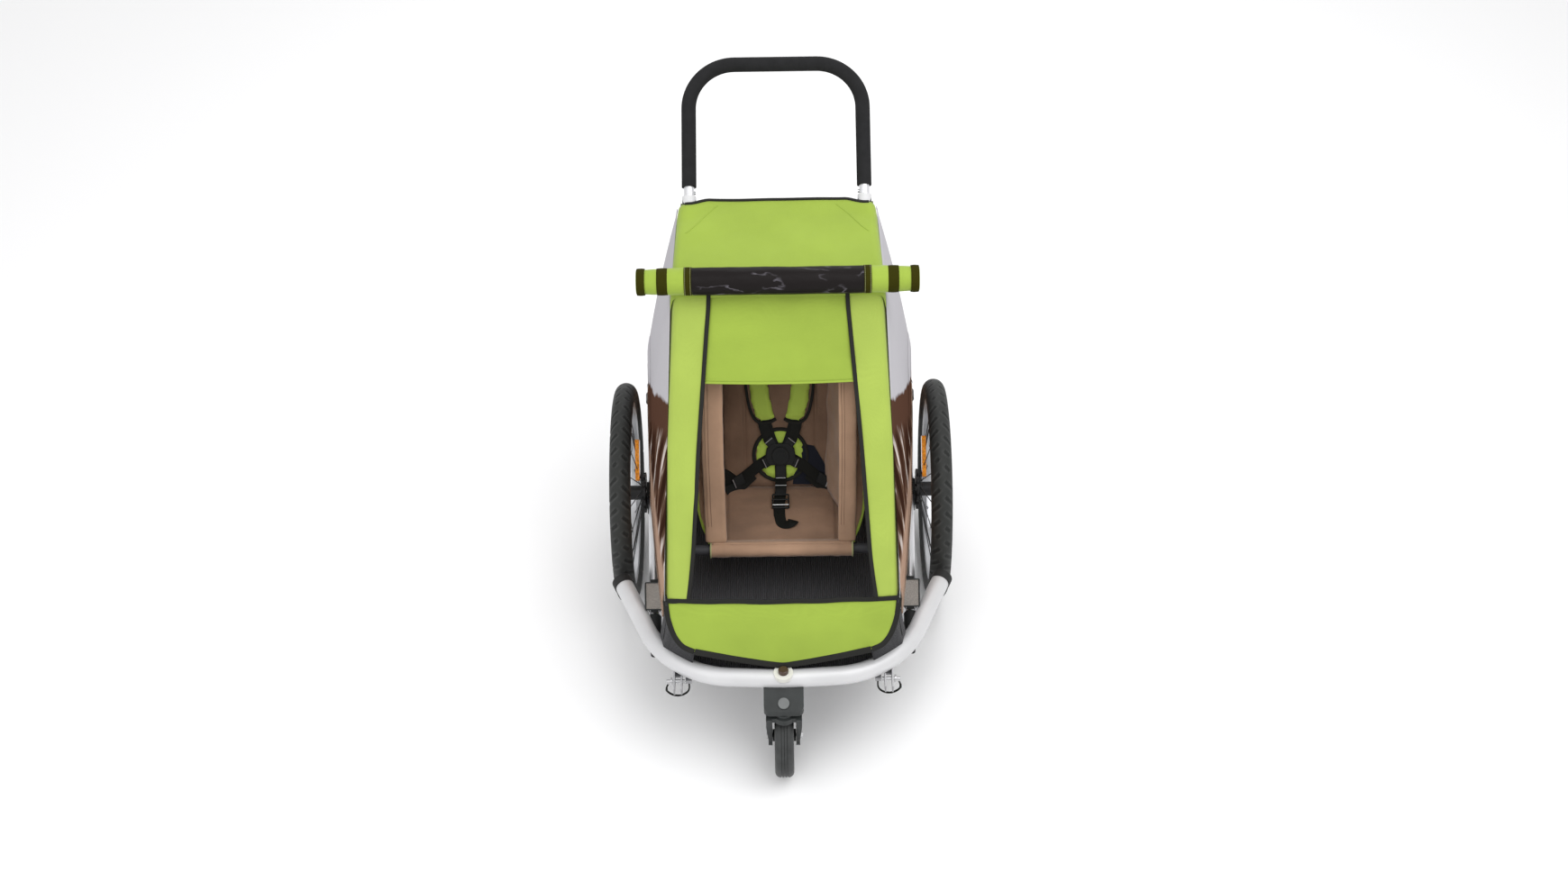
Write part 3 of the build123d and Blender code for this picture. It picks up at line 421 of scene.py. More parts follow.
NODE_LOOKS = {
    "bow": ["front_bow"],
    "aluminium": ["floor_frame", "axle_tube", "hoop_tubes", "roof_cross_tubes", "rear_strut",
                  "handle_tube"],
    "rim": ["rim_left", "rim_right"],
    "steel": ["hub_bearings", "wheel_axles", "frame_screws", "hinge_pins", "caster_bearing",
              "snap_button_left", "snap_button_right", "brake_pin_left", "brake_pin_right",
              "caster_axle", "hitch_pin_left", "hitch_pin_right"],
    "black_metal": ["hinge_brackets", "spokes_left", "spokes_right", "hub_left", "hub_right"],
    "dark_tube": ["seat_frame"],
    "black_plastic": ["rail_fittings", "axle_blocks", "fold_latch", "brake_pedal", "buckle_button"],
    "charcoal": ["caster_housing", "caster_fork", "caster_rim"],
    "grey_plastic": ["axle_button_left", "axle_button_right", "caster_button"],
    "plug": ["bow_centre_plug"],
    "corner": ["roof_corners"],
    "cast": ["hitch_brackets"],
    "rubber": ["end_caps"],
    "foam": ["handle_foam"],
    "lens_clear": ["front_reflectors"],
    "lens_red": ["rear_reflectors"],
    "lens_amber": ["spoke_reflector_left", "spoke_reflector_right"],
    "caster_rubber": ["caster_tyre"],
}


def paint(piece, look):
    """Puts one material in every slot of a piece or CAD node."""
    piece.data.materials.clear()
    piece.data.materials.append(M[look].material)


def paint_nodes():
    for look, names in NODE_LOOKS.items():
        for name in names:
            paint(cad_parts[name], look)


# ---- mesh helpers
def mesh_piece(name, points, faces, look, sharp=40):
    mesh = bpy.data.meshes.new(name)
    mesh.from_pydata([tuple(p) for p in points], [], faces)
    mesh.validate()
    piece = bpy.data.objects.new(name, mesh)
    bpy.context.scene.collection.objects.link(piece)
    tidy = bmesh.new()
    tidy.from_mesh(mesh)
    bmesh.ops.recalc_face_normals(tidy, faces=tidy.faces)
    tidy.to_mesh(mesh)
    tidy.free()
    mesh.shade_smooth()
    mesh.set_sharp_from_angle(angle=math.radians(sharp))
    paint(piece, look)
    return piece


def grid(name, rows, look, around=False, capped=False, sharp=40):
    """Surface through rows of points: around joins each row's ends, capped closes both end rows."""
    wide = len(rows[0])
    points = [p for row in rows for p in row]
    faces = []
    for j in range(len(rows) - 1):
        for i in range(wide if around else wide - 1):
            k = (i + 1) % wide
            faces.append((j * wide + i, j * wide + k, (j + 1) * wide + k, (j + 1) * wide + i))
    if capped:
        faces.append(tuple(range(wide)))
        faces.append(tuple((len(rows) - 1) * wide + i for i in range(wide)))
    return mesh_piece(name, points, faces, look, sharp)


def thicken(piece, millimetres, offset=0.0):
    made = piece.modifiers.new("thickness", "SOLIDIFY")
    made.thickness = millimetres / 1000
    made.offset = offset
    return piece


def soften(piece):
    made = piece.modifiers.new("smooth", "SUBSURF")
    made.levels = made.render_levels = 1
    return piece


def flow(points, count):
    """A smooth line through the points, as count even steps."""
    points = [Vector(p) for p in points]
    ends = [points[0] * 2 - points[1], *points, points[-1] * 2 - points[-2]]
    dense = []
    steps = 24
    for i in range(len(points) - 1):
        a, b, c, d = ends[i:i + 4]
        for step in range(steps):
            t = step / steps
            dense.append(0.5 * ((2 * b) + (c - a) * t + (2 * a - 5 * b + 4 * c - d) * t * t
                                + (3 * b - a - 3 * c + d) * t ** 3))
    dense.append(points[-1])
    marks = [0.0]
    for a, b in zip(dense, dense[1:]):
        marks.append(marks[-1] + (b - a).length)
    wanted = np.linspace(0, marks[-1], count)
    axes = [np.interp(wanted, marks, [p[i] for p in dense]) for i in range(3)]
    return [Vector(p) for p in zip(*axes)]


def oval(wide, thick, count=12, power=0.55):
    """Rounded flat section, in millimetres, as (across, out) in metres."""
    made = []
    for i in range(count):
        turn = 2 * math.pi * (i + 0.5) / count
        c, s = math.cos(turn), math.sin(turn)
        made.append((math.copysign(abs(c) ** power, c) * wide / 2000,
                     math.copysign(abs(s) ** power, s) * thick / 2000))
    return made


def swept(name, line, section, look, out=Vector((0, 0, 1)), closed=False, lift=0.0):
    """A section carried along a line, its second axis towards out: one vector or a list of them."""
    rows = []
    last = len(line) - 1
    for i, point in enumerate(line):
        if closed:
            along = line[(i + 1) % len(line)] - line[i - 1]
        else:
            along = line[min(i + 1, last)] - line[max(i - 1, 0)]
        along.normalize()
        up = Vector(out[i] if isinstance(out, list) else out)
        up = (up - along * up.dot(along)).normalized()
        across = along.cross(up)
        rows.append([point + across * a + up * (b + lift / 1000) for a, b in section])
    if closed:
        rows.append(rows[0])
    return grid(name, rows, look, around=True, capped=not closed, sharp=50)


def stitches(name, line, pitch, look, out, lift=0.3):
    """A row of short raised threads along a line, in one mesh."""
    points, faces = [], []
    total = sum((b - a).length for a, b in zip(line, line[1:]))
    places = flow(line, max(int(total / (pitch / 1000)), 3))
    for i in range(len(places) - 1):
        start, end = places[i].lerp(places[i + 1], 0.18), places[i].lerp(places[i + 1], 0.82)
        along = (end - start).normalized()
        up = Vector(out).normalized()
        across = along.cross(up).normalized() * 0.00045
        raise_by = up * ((lift + 0.45) / 1000)
        base = len(points)
        for place, share in ((start, 0.2), (start.lerp(end, 0.5), 1.0), (end, 0.2)):
            crown = raise_by * share
            points += [place - across, place + crown + up * 0.0001, place + across, place - up * 0.0004]
        for j in (0, 4):
            for k in range(4):
                n = (k + 1) % 4
                faces.append((base + j + k, base + j + n, base + j + 4 + n, base + j + 4 + k))
        faces += [(base, base + 1, base + 2, base + 3), (base + 8, base + 9, base + 10, base + 11)]
    return mesh_piece(name, points, faces, look)


def join(name, pieces):
    """Several meshes of possibly different materials as one piece."""
    for piece in pieces:
        if piece.modifiers:
            bake_modifiers(piece)
    mesh = bpy.data.meshes.new(name)
    whole = bmesh.new()
    looks = []
    for piece in pieces:
        start = len(whole.faces)
        whole.from_mesh(piece.data)
        whole.faces.ensure_lookup_table()
        for face in whole.faces[start:]:
            slot = piece.data.materials[face.material_index]
            if slot not in looks:
                looks.append(slot)
            face.material_index = looks.index(slot)
        bpy.data.objects.remove(piece)
    whole.to_mesh(mesh)
    whole.free()
    for look in looks:
        mesh.materials.append(look)
    made = bpy.data.objects.new(name, mesh)
    bpy.context.scene.collection.objects.link(made)
    return made


def bake_modifiers(piece):
    """Replaces a piece's mesh with what its modifiers make of it."""
    bpy.context.view_layer.update()
    shown = piece.evaluated_get(bpy.context.evaluated_depsgraph_get())
    mesh = bpy.data.meshes.new_from_object(shown)
    piece.modifiers.clear()
    piece.data = mesh
    return piece


def coordinates(mesh):
    made = np.zeros(len(mesh.vertices) * 3)
    mesh.vertices.foreach_get("co", made)
    return made.reshape(-1, 3)


STUFFING_PRESSURE = 4.0
STUFFING_FRAMES = 20


def inflate(piece, cap, voxel=5.0):
    """Swells a closed piece by cloth under pressure, with points kept within cap millimetres."""
    remesh = piece.modifiers.new("even", "REMESH")
    remesh.mode = "VOXEL"
    remesh.voxel_size = voxel / 1000
    bake_modifiers(piece)
    start = coordinates(piece.data)
    sim = piece.modifiers.new("stuffing", "CLOTH")
    sim.settings.use_pressure = True
    sim.settings.uniform_pressure_force = STUFFING_PRESSURE
    sim.settings.effector_weights.gravity = 0
    sim.point_cache.frame_start = 1
    sim.point_cache.frame_end = STUFFING_FRAMES
    for step in range(1, STUFFING_FRAMES + 1):
        bpy.context.scene.frame_set(step)
    shown = piece.evaluated_get(bpy.context.evaluated_depsgraph_get())
    moved = coordinates(shown.data) - start
    far = np.linalg.norm(moved, axis=1, keepdims=True)
    moved *= np.minimum(1.0, cap / 1000 / np.maximum(far, 1e-9))
    piece.modifiers.clear()
    piece.data.vertices.foreach_set("co", (start + moved).ravel())
    bpy.context.scene.frame_set(1)
    soften(piece)
    bake_modifiers(piece)
    piece.data.shade_smooth()
    return piece


def dent(piece, depth_at):
    """Moves each point against its normal by depth_at(point in mm) millimetres."""
    mesh = piece.data
    points = coordinates(mesh)
    normals = np.zeros(len(mesh.vertices) * 3)
    mesh.vertices.foreach_get("normal", normals)
    local = points * 1000 - np.array([0, AXLE_Y * 1000, 0])
    depth = depth_at(local) / 1000
    points -= normals.reshape(-1, 3) * depth[:, None]
    mesh.vertices.foreach_set("co", points.ravel())
    mesh.update()
    return piece


# ---- camera, light and floor
def studio():
    scene = bpy.context.scene
    scene.view_settings.view_transform = "Standard"
    camera = bpy.data.objects.new("camera", bpy.data.cameras.new("camera"))
    scene.collection.objects.link(camera)
    scene.camera = camera
    camera.data.sensor_width = 36
    camera.data.lens = 47.8
    camera.location = at(8, -3216, 3619)
    camera.rotation_euler = (Matrix.Rotation(math.radians(45), 3, "X")
                             @ Matrix.Rotation(math.radians(-0.8), 3, "Z")).to_euler()

    world = bpy.data.worlds.new("studio")
    scene.world = world
    world.use_nodes = True
    world.node_tree.nodes["Background"].inputs["Color"].default_value = (1, 1, 1, 1)
    world.node_tree.nodes["Background"].inputs["Strength"].default_value = 0.85
    for name, place, size, power in (
            ("key", (900, -900, 2900), 2.2, 38),
            ("fill", (-1500, -1700, 2300), 2.4, 18),
            ("back", (300, 2100, 2300), 2.0, 16)):
        light = bpy.data.objects.new(name, bpy.data.lights.new(name, "AREA"))
        light.data.energy = power
        light.data.size = size
        light.location = at(*place)
        light.rotation_euler = (at(0, -50, 450) - light.location).to_track_quat("-Z", "Y").to_euler()
        scene.collection.objects.link(light)

    wide = 9
    corners = [(-wide, -wide, 0), (wide, -wide, 0), (wide, wide, 0), (-wide, wide, 0)]
    floor = mesh_piece("floor", corners, [(0, 1, 2, 3)], "floor")
    floor.location.z = -0.0005


# ---- pin straps
LEASH = [                          # route of the pin strap, as (x, z)
    (239.0, 215.0), (246.0, 199.0), (236.0, 182.0), (219.0, 175.0), (202.0, 184.0), (194.0, 202.0),
    (196.0, 222.0),
]
LEASH_Y = -520.0
STRAP_WIDE = 4.0


def smooth_route(points):
    """Points read from the NURBS curve that has these control points."""
    curve = bpy.data.curves.new("route", "CURVE")
    curve.dimensions = "3D"
    curve.resolution_u = 16
    spline = curve.splines.new("NURBS")
    spline.points.add(len(points) - 1)
    for made, point in zip(spline.points, points):
        made.co = (*point, 1)
    spline.order_u = 3
    spline.use_endpoint_u = True
    holder = bpy.data.objects.new("route", curve)
    bpy.context.scene.collection.objects.link(holder)
    line = [v.co.copy() for v in bpy.data.meshes.new_from_object(holder).vertices]
    bpy.data.objects.remove(holder)
    return line


def pin_strap(side_name):
    """Short webbing strap from the pin's tail, under the clevis, to the post under the bow."""
    side = SIDES[side_name]
    route = [at(side * x, LEASH_Y, z) for x, z in LEASH]
    line = smooth_route(route)
    last = len(line) - 1
    along = [line[min(n + 1, last)] - line[max(n - 1, 0)] for n in range(last + 1)]
    out = [step.cross(Vector((0, -1, 0))) for step in along]
    strap = swept(f"pin_strap_{side_name}", line, oval(STRAP_WIDE, 3.4), "webbing", out)
    under = slice(9, 15)
    slide = swept(f"strap_slide_{side_name}", line[under], oval(7.5, 4.2, 12, 0.35), "black_plastic",
                  out[under])
    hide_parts(f"leash_{side_name}")
    length = sum((b - a).length for a, b in zip(line, line[1:]))
    for piece in (strap, slide):
        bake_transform(piece)


# ---- canopy
SLOPE = math.atan2(STRIP_TOP[1] - STRIP_LOW[1], STRIP_TOP[0] - STRIP_LOW[0])
STRIP_OUT = Vector((0, -math.sin(SLOPE), math.cos(SLOPE)))       # away from the cabin
STRIP_UP = Vector((0, math.cos(SLOPE), math.sin(SLOPE)))
HEM_ROUND = 13.0                   # radius of the cloth round the hoop tubes


def on_strip(x, z, lift=0.0):
    """Point on the sloping front at a height."""
    share = (z - STRIP_LOW[1]) / (STRIP_TOP[1] - STRIP_LOW[1])
    y = lerp(STRIP_LOW[0], STRIP_TOP[0], share)
    return at(x, y, z) + STRIP_OUT * (lift / 1000)


def inner_edge(z):
    """Half-width of the front opening at a height."""
    return between(z, [395, 420, 470, 640, 875], [191, 186, 179, 164, 138])


def outer_edge(z):
    """Half-width of the hoop's outside at a height."""
    return between(z, [395, 640, 770, 890], [235, 228, 218, 209])


def wall_at(y, drop):
    """Point of the right side wall: drop goes from the top edge, 0, by the waist, 0.5, to the hem, 1."""
    ys = [station[0] for station in reversed(WALL)]
    lines = [[c for corner in reversed(station[1:]) for c in corner] for station in reversed(WALL)]
    corners = [between(y, ys, [line[i] for line in lines]) for i in range(6)]
    top, waist, hem = corners[:2], corners[2:4], corners[4:]
    if drop < 0.5:
        share = drop * 2
        x, z = lerp(top[0], waist[0], share), lerp(top[1], waist[1], share)
        x += 5 * arch(share) * min(1.0, (top[1] - waist[1]) / 200)
    else:
        share = drop * 2 - 1
        x, z = lerp(waist[0], hem[0], share), lerp(waist[1], hem[1], share)
    return x, z


ROOF_Y = (-62.0, 228.0)            # the roof's front and rear edge in the middle
ROOF_FLAT = 0.86                   # share of the half-width up to the hoop tube
ROOF_ROUND = 0.94                  # share up to the side seam, from where the cloth hangs


def roof_rear(x):
    """Y of the roof's rear edge, which is cut back a little in front of each handle leg."""
    return 231 - 18 * ease((abs(x) - 140) / 45)


def roof_height(reach, y):
    """Height of the sheet: it bends down to the front slope and rises over the rear corners."""
    slope = 860 + (y + 74) * 1.226
    top = between(y, [-100, -45, 236], [893, 895, 888])
    top = min(top, slope) - 3 * bell(top - slope, 12)
    from_corner = reach / ROOF_FLAT * (205 - HEM_ROUND) - 184
    return top + 6 * bell(from_corner, 30) * ease((y - 178) / 40)


def roof_point(share, across):
    u = across * 2 - 1
    side = 1 if u > 0 else -1
    reach = abs(u)
    y_mid = lerp(*ROOF_Y, share)
    half = between(y_mid, [-100, -45, 236], [212, 213, 205])
    flat = half - HEM_ROUND
    top = roof_height(reach, y_mid)
    if reach < ROOF_FLAT:
        x = flat * reach / ROOF_FLAT
        z = top - 7 * math.cos(math.pi / 2 * x / flat) ** 0.8 * arch(share) ** 0.6
        z += ripple(side * x, y_mid, 85, 3.2)
    elif reach < ROOF_ROUND:
        turn = (reach - ROOF_FLAT) / (ROOF_ROUND - ROOF_FLAT) * math.pi / 2
        x = flat + HEM_ROUND * math.sin(turn)
        z = top - HEM_ROUND * (1 - math.cos(turn))
    else:
        down = (reach - ROOF_ROUND) / (1 - ROOF_ROUND) * 26
        x = half + down * 0.18 + 0.8
        z = top - HEM_ROUND - down
    return at(side * x, lerp(ROOF_Y[0], roof_rear(side * x), share), z)


def ripple(x, y, size, height):
    return (noise.noise(Vector((x / size, y / size, 3.7))) - 0.05) * height


def roof():
    """Green top sheet: flat between the hoop tubes, rolled over them and down to the side seams."""
    rows = net(36, 72, roof_point)
    sheet = thicken(grid("canopy_roof_sheet", rows, "green"), 1.1)
    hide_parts("canopy_roof")
    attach(sheet, "hoop")

    rear_edge = rows[-1][5:68]
    piping = swept("roof_piping", rear_edge, oval(7.5, 5.0), "binding", Vector((0, 0.2, 1)), lift=0.5)
    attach(piping, "hoop")
    for name, side in SIDES.items():
        corner = [rows[36 - k][36 + side * (18 + k)] + Vector((0, 0, 0.0008)) for k in range(2, 13)]
        line = flow(corner, 30)
        seam = swept("roof_corner_seam", line, oval(3.2, 1.3), "green")
        sewn = stitches("roof_corner_stitches", line, 4.0, "green", (0, 0, 1), 0.9)
        whole = join(f"roof_corner_{name}", [seam, sewn])
        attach(whole, "hoop")


BORDER_FLAT = 0.62                 # share of the border's width up to the hoop tube
BORDER_ROUND = 0.8                 # share up to where the cloth runs back along the side


def strip(name):
    """Green border beside the opening, rolled round the hoop tube to the side seam."""
    side = SIDES[name]

    def point(share, u):
        z = lerp(396, 896, share)
        inner, outer = inner_edge(z), outer_edge(z)
        if u < BORDER_FLAT:
            x = lerp(inner, outer - HEM_ROUND, u / BORDER_FLAT)
            lift = 1.2 * arch(u / BORDER_FLAT) + ripple(side * x, z, 60, 3.4)
            return on_strip(side * x, z, lift)
        if u < BORDER_ROUND:
            turn = (u - BORDER_FLAT) / (BORDER_ROUND - BORDER_FLAT) * math.pi / 2
            x = outer - HEM_ROUND + HEM_ROUND * math.sin(turn)
            return on_strip(side * x, z, -HEM_ROUND * (1 - math.cos(turn)))
        back = (u - BORDER_ROUND) / (1 - BORDER_ROUND)
        return on_strip(side * (outer + back * 5), z, -(HEM_ROUND + back * 20))
    rows = net(60, 24, point)
    cloth_strip = thicken(grid(f"front_border_{name}", rows, "strip"), 1.2)
    if name == "left":
        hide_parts("canopy_walls")
    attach(cloth_strip, "hoop")

    line = [on_strip(side * (inner_edge(z) + 0.5), z, 1.0) for z in np.linspace(900, 398, 14)]
    edge = swept("binding", flow(line, 90), oval(8.5, 3.4), "binding", STRIP_OUT, lift=0.8)
    sewn_line = flow([p + Vector((side * 0.0032, 0, 0)) for p in line], 90)
    sewn = stitches("binding_stitches", sewn_line, 3.5, "binding", STRIP_OUT, 2.8)
    edge = join(f"opening_edge_{name}", [edge, sewn])
    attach(edge, "hoop")
    seam = flow([row[19] for row in rows], 90)
    sewn = stitches(f"border_seam_{name}", seam, 4.0, "green", (side, -0.2, 0.2), 0.8)
    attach(sewn, "hoop")


def sunshade():
    """Green flap between the two bindings, with a turned hem that hangs a little proud."""
    def point(share, across):
        u = across * 2 - 1
        z = lerp(900, 741, share)
        half = inner_edge(z) + 1
        middle = 1 - u * u
        billow = 5 * middle * arch(min(share, 0.93)) - 9 * middle * share ** 6
        billow += ripple(u * half, z * 2.2, 70, 3.0) + 1.6 * math.sin(z / 13) * middle * 0.4
        return on_strip(u * half, z - 3 * middle * share, -3 + billow)
    rows = net(30, 40, point)
    flap = thicken(grid("sunshade", rows, "green"), 1.1)
    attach(flap, "hoop")
    hem_line = [p + STRIP_OUT * 0.0004 for p in rows[-1]]
    hem = swept("sunshade_hem", hem_line, oval(5.0, 2.6), "green", STRIP_OUT)
    sewn_line = [p + STRIP_UP * 0.008 for p in hem_line]
    sewn = stitches("sunshade_stitches", sewn_line, 4.0, "green", STRIP_OUT, 0.8)
    whole = join("sunshade_edge", [hem, sewn])
    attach(whole, "hoop")


ROLL_AT = (-66.0, 921.0)           # the rolled cover: y and z of its axis, radius, half-lengths
ROLL_R = 27.5
ROLL_REACH = 281.0
FILM_REACH = 175.0


def roll_section(x, radius):
    """Outline of the rolled cloth: a spiral whose outer end makes a low step on the front."""
    made = []
    for i in range(48):
        turn = 2 * math.pi * i / 48
        wound = 1 - 0.055 * ((turn / (2 * math.pi) + 0.35) % 1.0)
        r = radius * wound * (1 + 0.02 * rough_at(x / 55, math.cos(turn) * 1.2, math.sin(turn) * 1.2))
        made.append(at(x, ROLL_AT[0] + r * math.cos(turn), ROLL_AT[1] + r * math.sin(turn)))
    return made


def roll_tube(name, x_from, x_to, steps, radius_at, look, capped=False):
    """Stretch of the roll between two places, where radius_at(x, share) gives its radius."""
    rows = []
    for j in range(steps + 1):
        x = lerp(x_from, x_to, j / steps)
        rows.append(roll_section(x, radius_at(x, j / steps)))
    return grid(name, rows, look, around=True, capped=capped, sharp=60 if capped else 40)


def roll_end(side):
    """Green end of the roll with its two bands and the sewn rim beside the film."""
    def thinned(x, share):
        return ROLL_R * (1 - 0.10 * ease((abs(x) - 215) / 60) - 0.07 * bell(abs(x) - 229, 9))

    def banded(x, share):
        return (ROLL_R + 1.0) * 0.93 * (1 + 0.025 * arch(share))
    pieces = [roll_tube("end", side * (FILM_REACH + 2), side * ROLL_REACH, 22, thinned, "green", True)]
    for near, far in ((219, 240), (264, 280)):
        pieces.append(thicken(roll_tube("band", side * near, side * far, 6, banded, "olive"), 1.4))
    rim = [roll_section(side * (FILM_REACH + x), ROLL_R + 0.9) for x in (-4, 1, 6, 11)]
    pieces.append(thicken(grid("rim", rim, "olive", around=True), 1.0))
    for x in (FILM_REACH - 2, FILM_REACH + 9):
        middle = at(side * x, *ROLL_AT)
        ring = [p + (p - middle).normalized() * 0.0004 for p in roll_section(side * x, ROLL_R + 1.5)]
        ring.append(ring[0])
        pieces.append(stitches("rim_stitches", ring, 4.0, "thread", (0, -0.5, 0.85), 0.5))
    return pieces


def roll():
    """Front cover rolled up on the roof: green ends with two bands each, and a dark window between."""
    def creased(x, share):
        crease = 1 + 0.03 * rough_at(x / 60, 0.4, 7.1) + 0.012 * rough_at(x / 17, 2.2, 1.0)
        return (ROLL_R + 0.3) * crease
    pieces = [piece for side in SIDES.values() for piece in roll_end(side)]
    pieces.append(roll_tube("film", -FILM_REACH, FILM_REACH, 60, creased, "dark_film", True))
    places = np.linspace(-FILM_REACH + 6, FILM_REACH - 6, 30)
    flap = [roll_section(x, ROLL_R + 0.8)[27:33] for x in places]
    pieces.append(thicken(grid("outer_edge", flap, "dark_film"), 0.9))
    whole = join("cover_roll_cloth", pieces)
    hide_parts("cover_roll")
    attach(whole, "hoop")


WALL_ENDS = (-440, 318)


def wall_sheet(name, side, drops, thick, lift, folds):
    """Sheet of the side wall between two drops, pushed out by lift and by folds(y, drop)."""
    def point(along, across):
        y = lerp(*WALL_ENDS, along)
        drop = lerp(*drops, across)
        x, z = wall_at(y, drop)
        return at(side * (x + (lift + folds(y, drop))), y, z)
    return thicken(grid(name, net(152, 16, point), "window"), thick)


def side_wall(name):
    """Side of the cabin: tinted window above and gathered cloth below, with a brown hem and front edge."""
    side = SIDES[name]

    def plain(y, drop):
        return 0.0

    def gathers(y, drop):
        fade = 0.3 + 0.7 * (1 - abs(drop - 0.55) * 1.6)
        return 2.0 * fade * (rough_at(y / 9, drop * 1.4, 5.0 * side) - 0.1)

    # Both sheets wear the window material, so the gathered cloth below shows its painted dark cabin shade
    # and painted glint lines above the brown hem band.
    for label, drops, thick, lift, folds, slot_name, flat in (
            (f"window_{name}", (0.03, 0.46), 0.8, 0.0, plain, "window_film", (0.55, 0.74)),
            (f"lower_side_{name}", (0.455, 1.0), 1.2, 0.4, gathers, "brown_fabric", (0.19, 0.74))):
        piece = wall_sheet(label, side, drops, thick, lift, folds)
        crumple(piece)

    def seam(places, lift, count):
        """Line over (y, drop) places of the wall, lifted off it."""
        made = []
        for y, drop in places:
            x, z = wall_at(y, drop)
            made.append(at(side * (x + lift), y, z))
        return flow(made, count)

    ys = np.linspace(*WALL_ENDS, 24)
    front = [(-438, drop) for drop in np.linspace(0.02, 0.99, 8)]
    rear = [(236, 0.02), (262, 0.1), (290, 0.24), (312, 0.5), (316, 0.99)]
    out = (side, 0, 0.2)
    trims = [
        swept("hem", seam([(y, 0.995) for y in ys], 1.5, 90), oval(12, 3.2), "brown", out),
        swept("front_edge", seam(front, 1, 30), oval(9, 2.8), "brown", out),
        swept("rear_edge", seam(rear, 1, 40), oval(6, 2.2), "window", out),
        stitches("hem_stitches", seam([(y, 0.97) for y in ys], 2.2, 90), 4.5, "dark_thread", out, 1.2),
    ]
    whole = join(f"side_binding_{name}", trims)
    crumple(whole)


REAR = [(199, 239, 883), (283, 327, 330), (297, 327, 267)]      # rear panel: half-width, y and z


def rear_point(u, z, out=0.0):
    """Point of the rear panel: u goes from -1 to 1 across it, and out is behind it."""
    halves, ys, zs = zip(*reversed(REAR))
    return at(u * between(z, zs, halves), between(z, zs, ys) + out, z)


REAR_PANE = 0.62                   # the rear window's share of the panel's width
CORNER_SHARE = 0.15                # share of the upper cloth that dips in behind the roof corners


def rear_sheet(label, look, z_range, reach, thick, out, bulge):
    """One cloth or film of the rear panel, bulged and rippled by a few millimetres."""
    def point(share, across):
        z = lerp(*z_range, share)
        u = lerp(-reach, reach, across)
        push = out + bulge * arch(share) * arch(across) + ripple(u * 260, z, 75, 3.0)
        if label == "rear_upper" and share < CORNER_SHARE:
            from_corner = abs(u) * REAR[0][0] - 184
            push -= 14 * bell(from_corner, 20) * (1 - share / CORNER_SHARE)
        return rear_point(u, z, push)
    rows = net(40, 40, point)
    piece = thicken(grid(label, rows, look), thick)
    crumple(piece)


def rear_panel():
    """Back of the cabin: green upper cloth with a dark window, and a brown luggage pocket below."""
    rear_sheet("rear_upper", "green", (880, 520), 1, 1.1, 0, 5)
    rear_sheet("rear_pocket", "brown", (528, 268), 1, 1.3, 2, 9)
    rear_sheet("rear_window", "film", (800, 600), REAR_PANE, 0.8, 6.5, 3)
    across = np.linspace(-1, 1, 13)
    lines = [
        ([rear_point(u, 526, 5 + 2 * (1 - u * u)) for u in across], 12),
        ([rear_point(u, 270, 3) for u in across], 12),
    ]
    for u in (-0.985, 0.985):
        lines.append(([rear_point(u, z, 4.5) for z in np.linspace(868, 270, 14)], 9))
    for z in (800, 600):
        lines.append(([rear_point(u, z, 7.4) for u in np.linspace(-REAR_PANE, REAR_PANE, 9)], 9))
    for u in (-REAR_PANE, REAR_PANE):
        lines.append(([rear_point(u, z, 7.4) for z in np.linspace(800, 600, 7)], 9))
    out = (0, 1, 0.2)
    trims = []
    for points, wide in lines:
        trims.append(swept("rear_edge", flow(points, 60), oval(wide, 3.0), "binding", out))
        sewn_line = flow([p + Vector((0, 0.0016, 0)) for p in points], 60)
        trims.append(stitches("rear_stitches", sewn_line, 4.5, "dark_thread", out, 0.6))
    whole = join("rear_binding", trims)
    crumple(whole)


# ---- front panel and floor
TOE = [                            # front panel: half-width, then y and z of its edge and its middle
    (236, -449, 396, -453, 394),
    (232, -470, 372, -474, 368),
    (224, -487, 343, -493, 338),
    (208, -503, 320, -508, 308),
    (180, -513, 311, -523, 277),
]


def toe_row(share, lift):
    """Points across the front panel, where share goes from its top edge to its hem."""
    place = share * (len(TOE) - 1)
    places = range(len(TOE))
    half, edge_y, edge_z, mid_y, mid_z = (between(place, places, column) for column in zip(*TOE))
    row = []
    for i in range(49):
        u = i / 24 - 1
        bow = 1 - abs(u) ** 1.25
        y, z = lerp(edge_y, mid_y, bow), lerp(edge_z, mid_z, bow)
        push = lift + 2.5 * arch(share) * (1 - u * u) + ripple(u * half, share * 140, 65, 2.6)
        row.append(at(u * half, y - push * 0.75, z + push * 0.6))
    return row


def toe_panel():
    """Green front panel with a wavy black band above and a black hem that dips in the middle."""
    rows = [toe_row(j / 20, 0.0) for j in range(21)]
    panel = thicken(grid("front_panel", rows, "green"), 1.2)
    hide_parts("toe_panel")
    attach(panel, "chassis")
    out = Vector((0, -0.75, 0.66))
    wave_high = 0.0012
    waves = [Vector((0, 0, wave_high * math.sin(i * 0.55))) for i in range(len(rows[0]))]
    band = [p + out * 0.0022 + wave for p, wave in zip(rows[0], waves)]
    hem = [p + out * 0.001 for p in rows[-1]]
    sewn_line = [p + out * 0.0014 for p in band[::3]]
    trims = [
        swept("toe_band", flow(band[::3], 90), oval(9.5, 3.4), "binding", out),
        swept("toe_hem", flow(hem[::3], 90), oval(13, 3.6), "binding", out),
        stitches("toe_stitches", flow(sewn_line, 90), 4.0, "binding", out, 0.8),
    ]
    for side in SIDES.values():
        column = 24 + side * 24
        edge = [row[column] + Vector((side * 0.002, 0, 0)) for row in rows[::4]]
        trims.append(swept("toe_side", flow(edge, 30), oval(11, 4.2), "binding", out))
    whole = join("front_panel_binding", trims)
    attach(whole, "chassis")


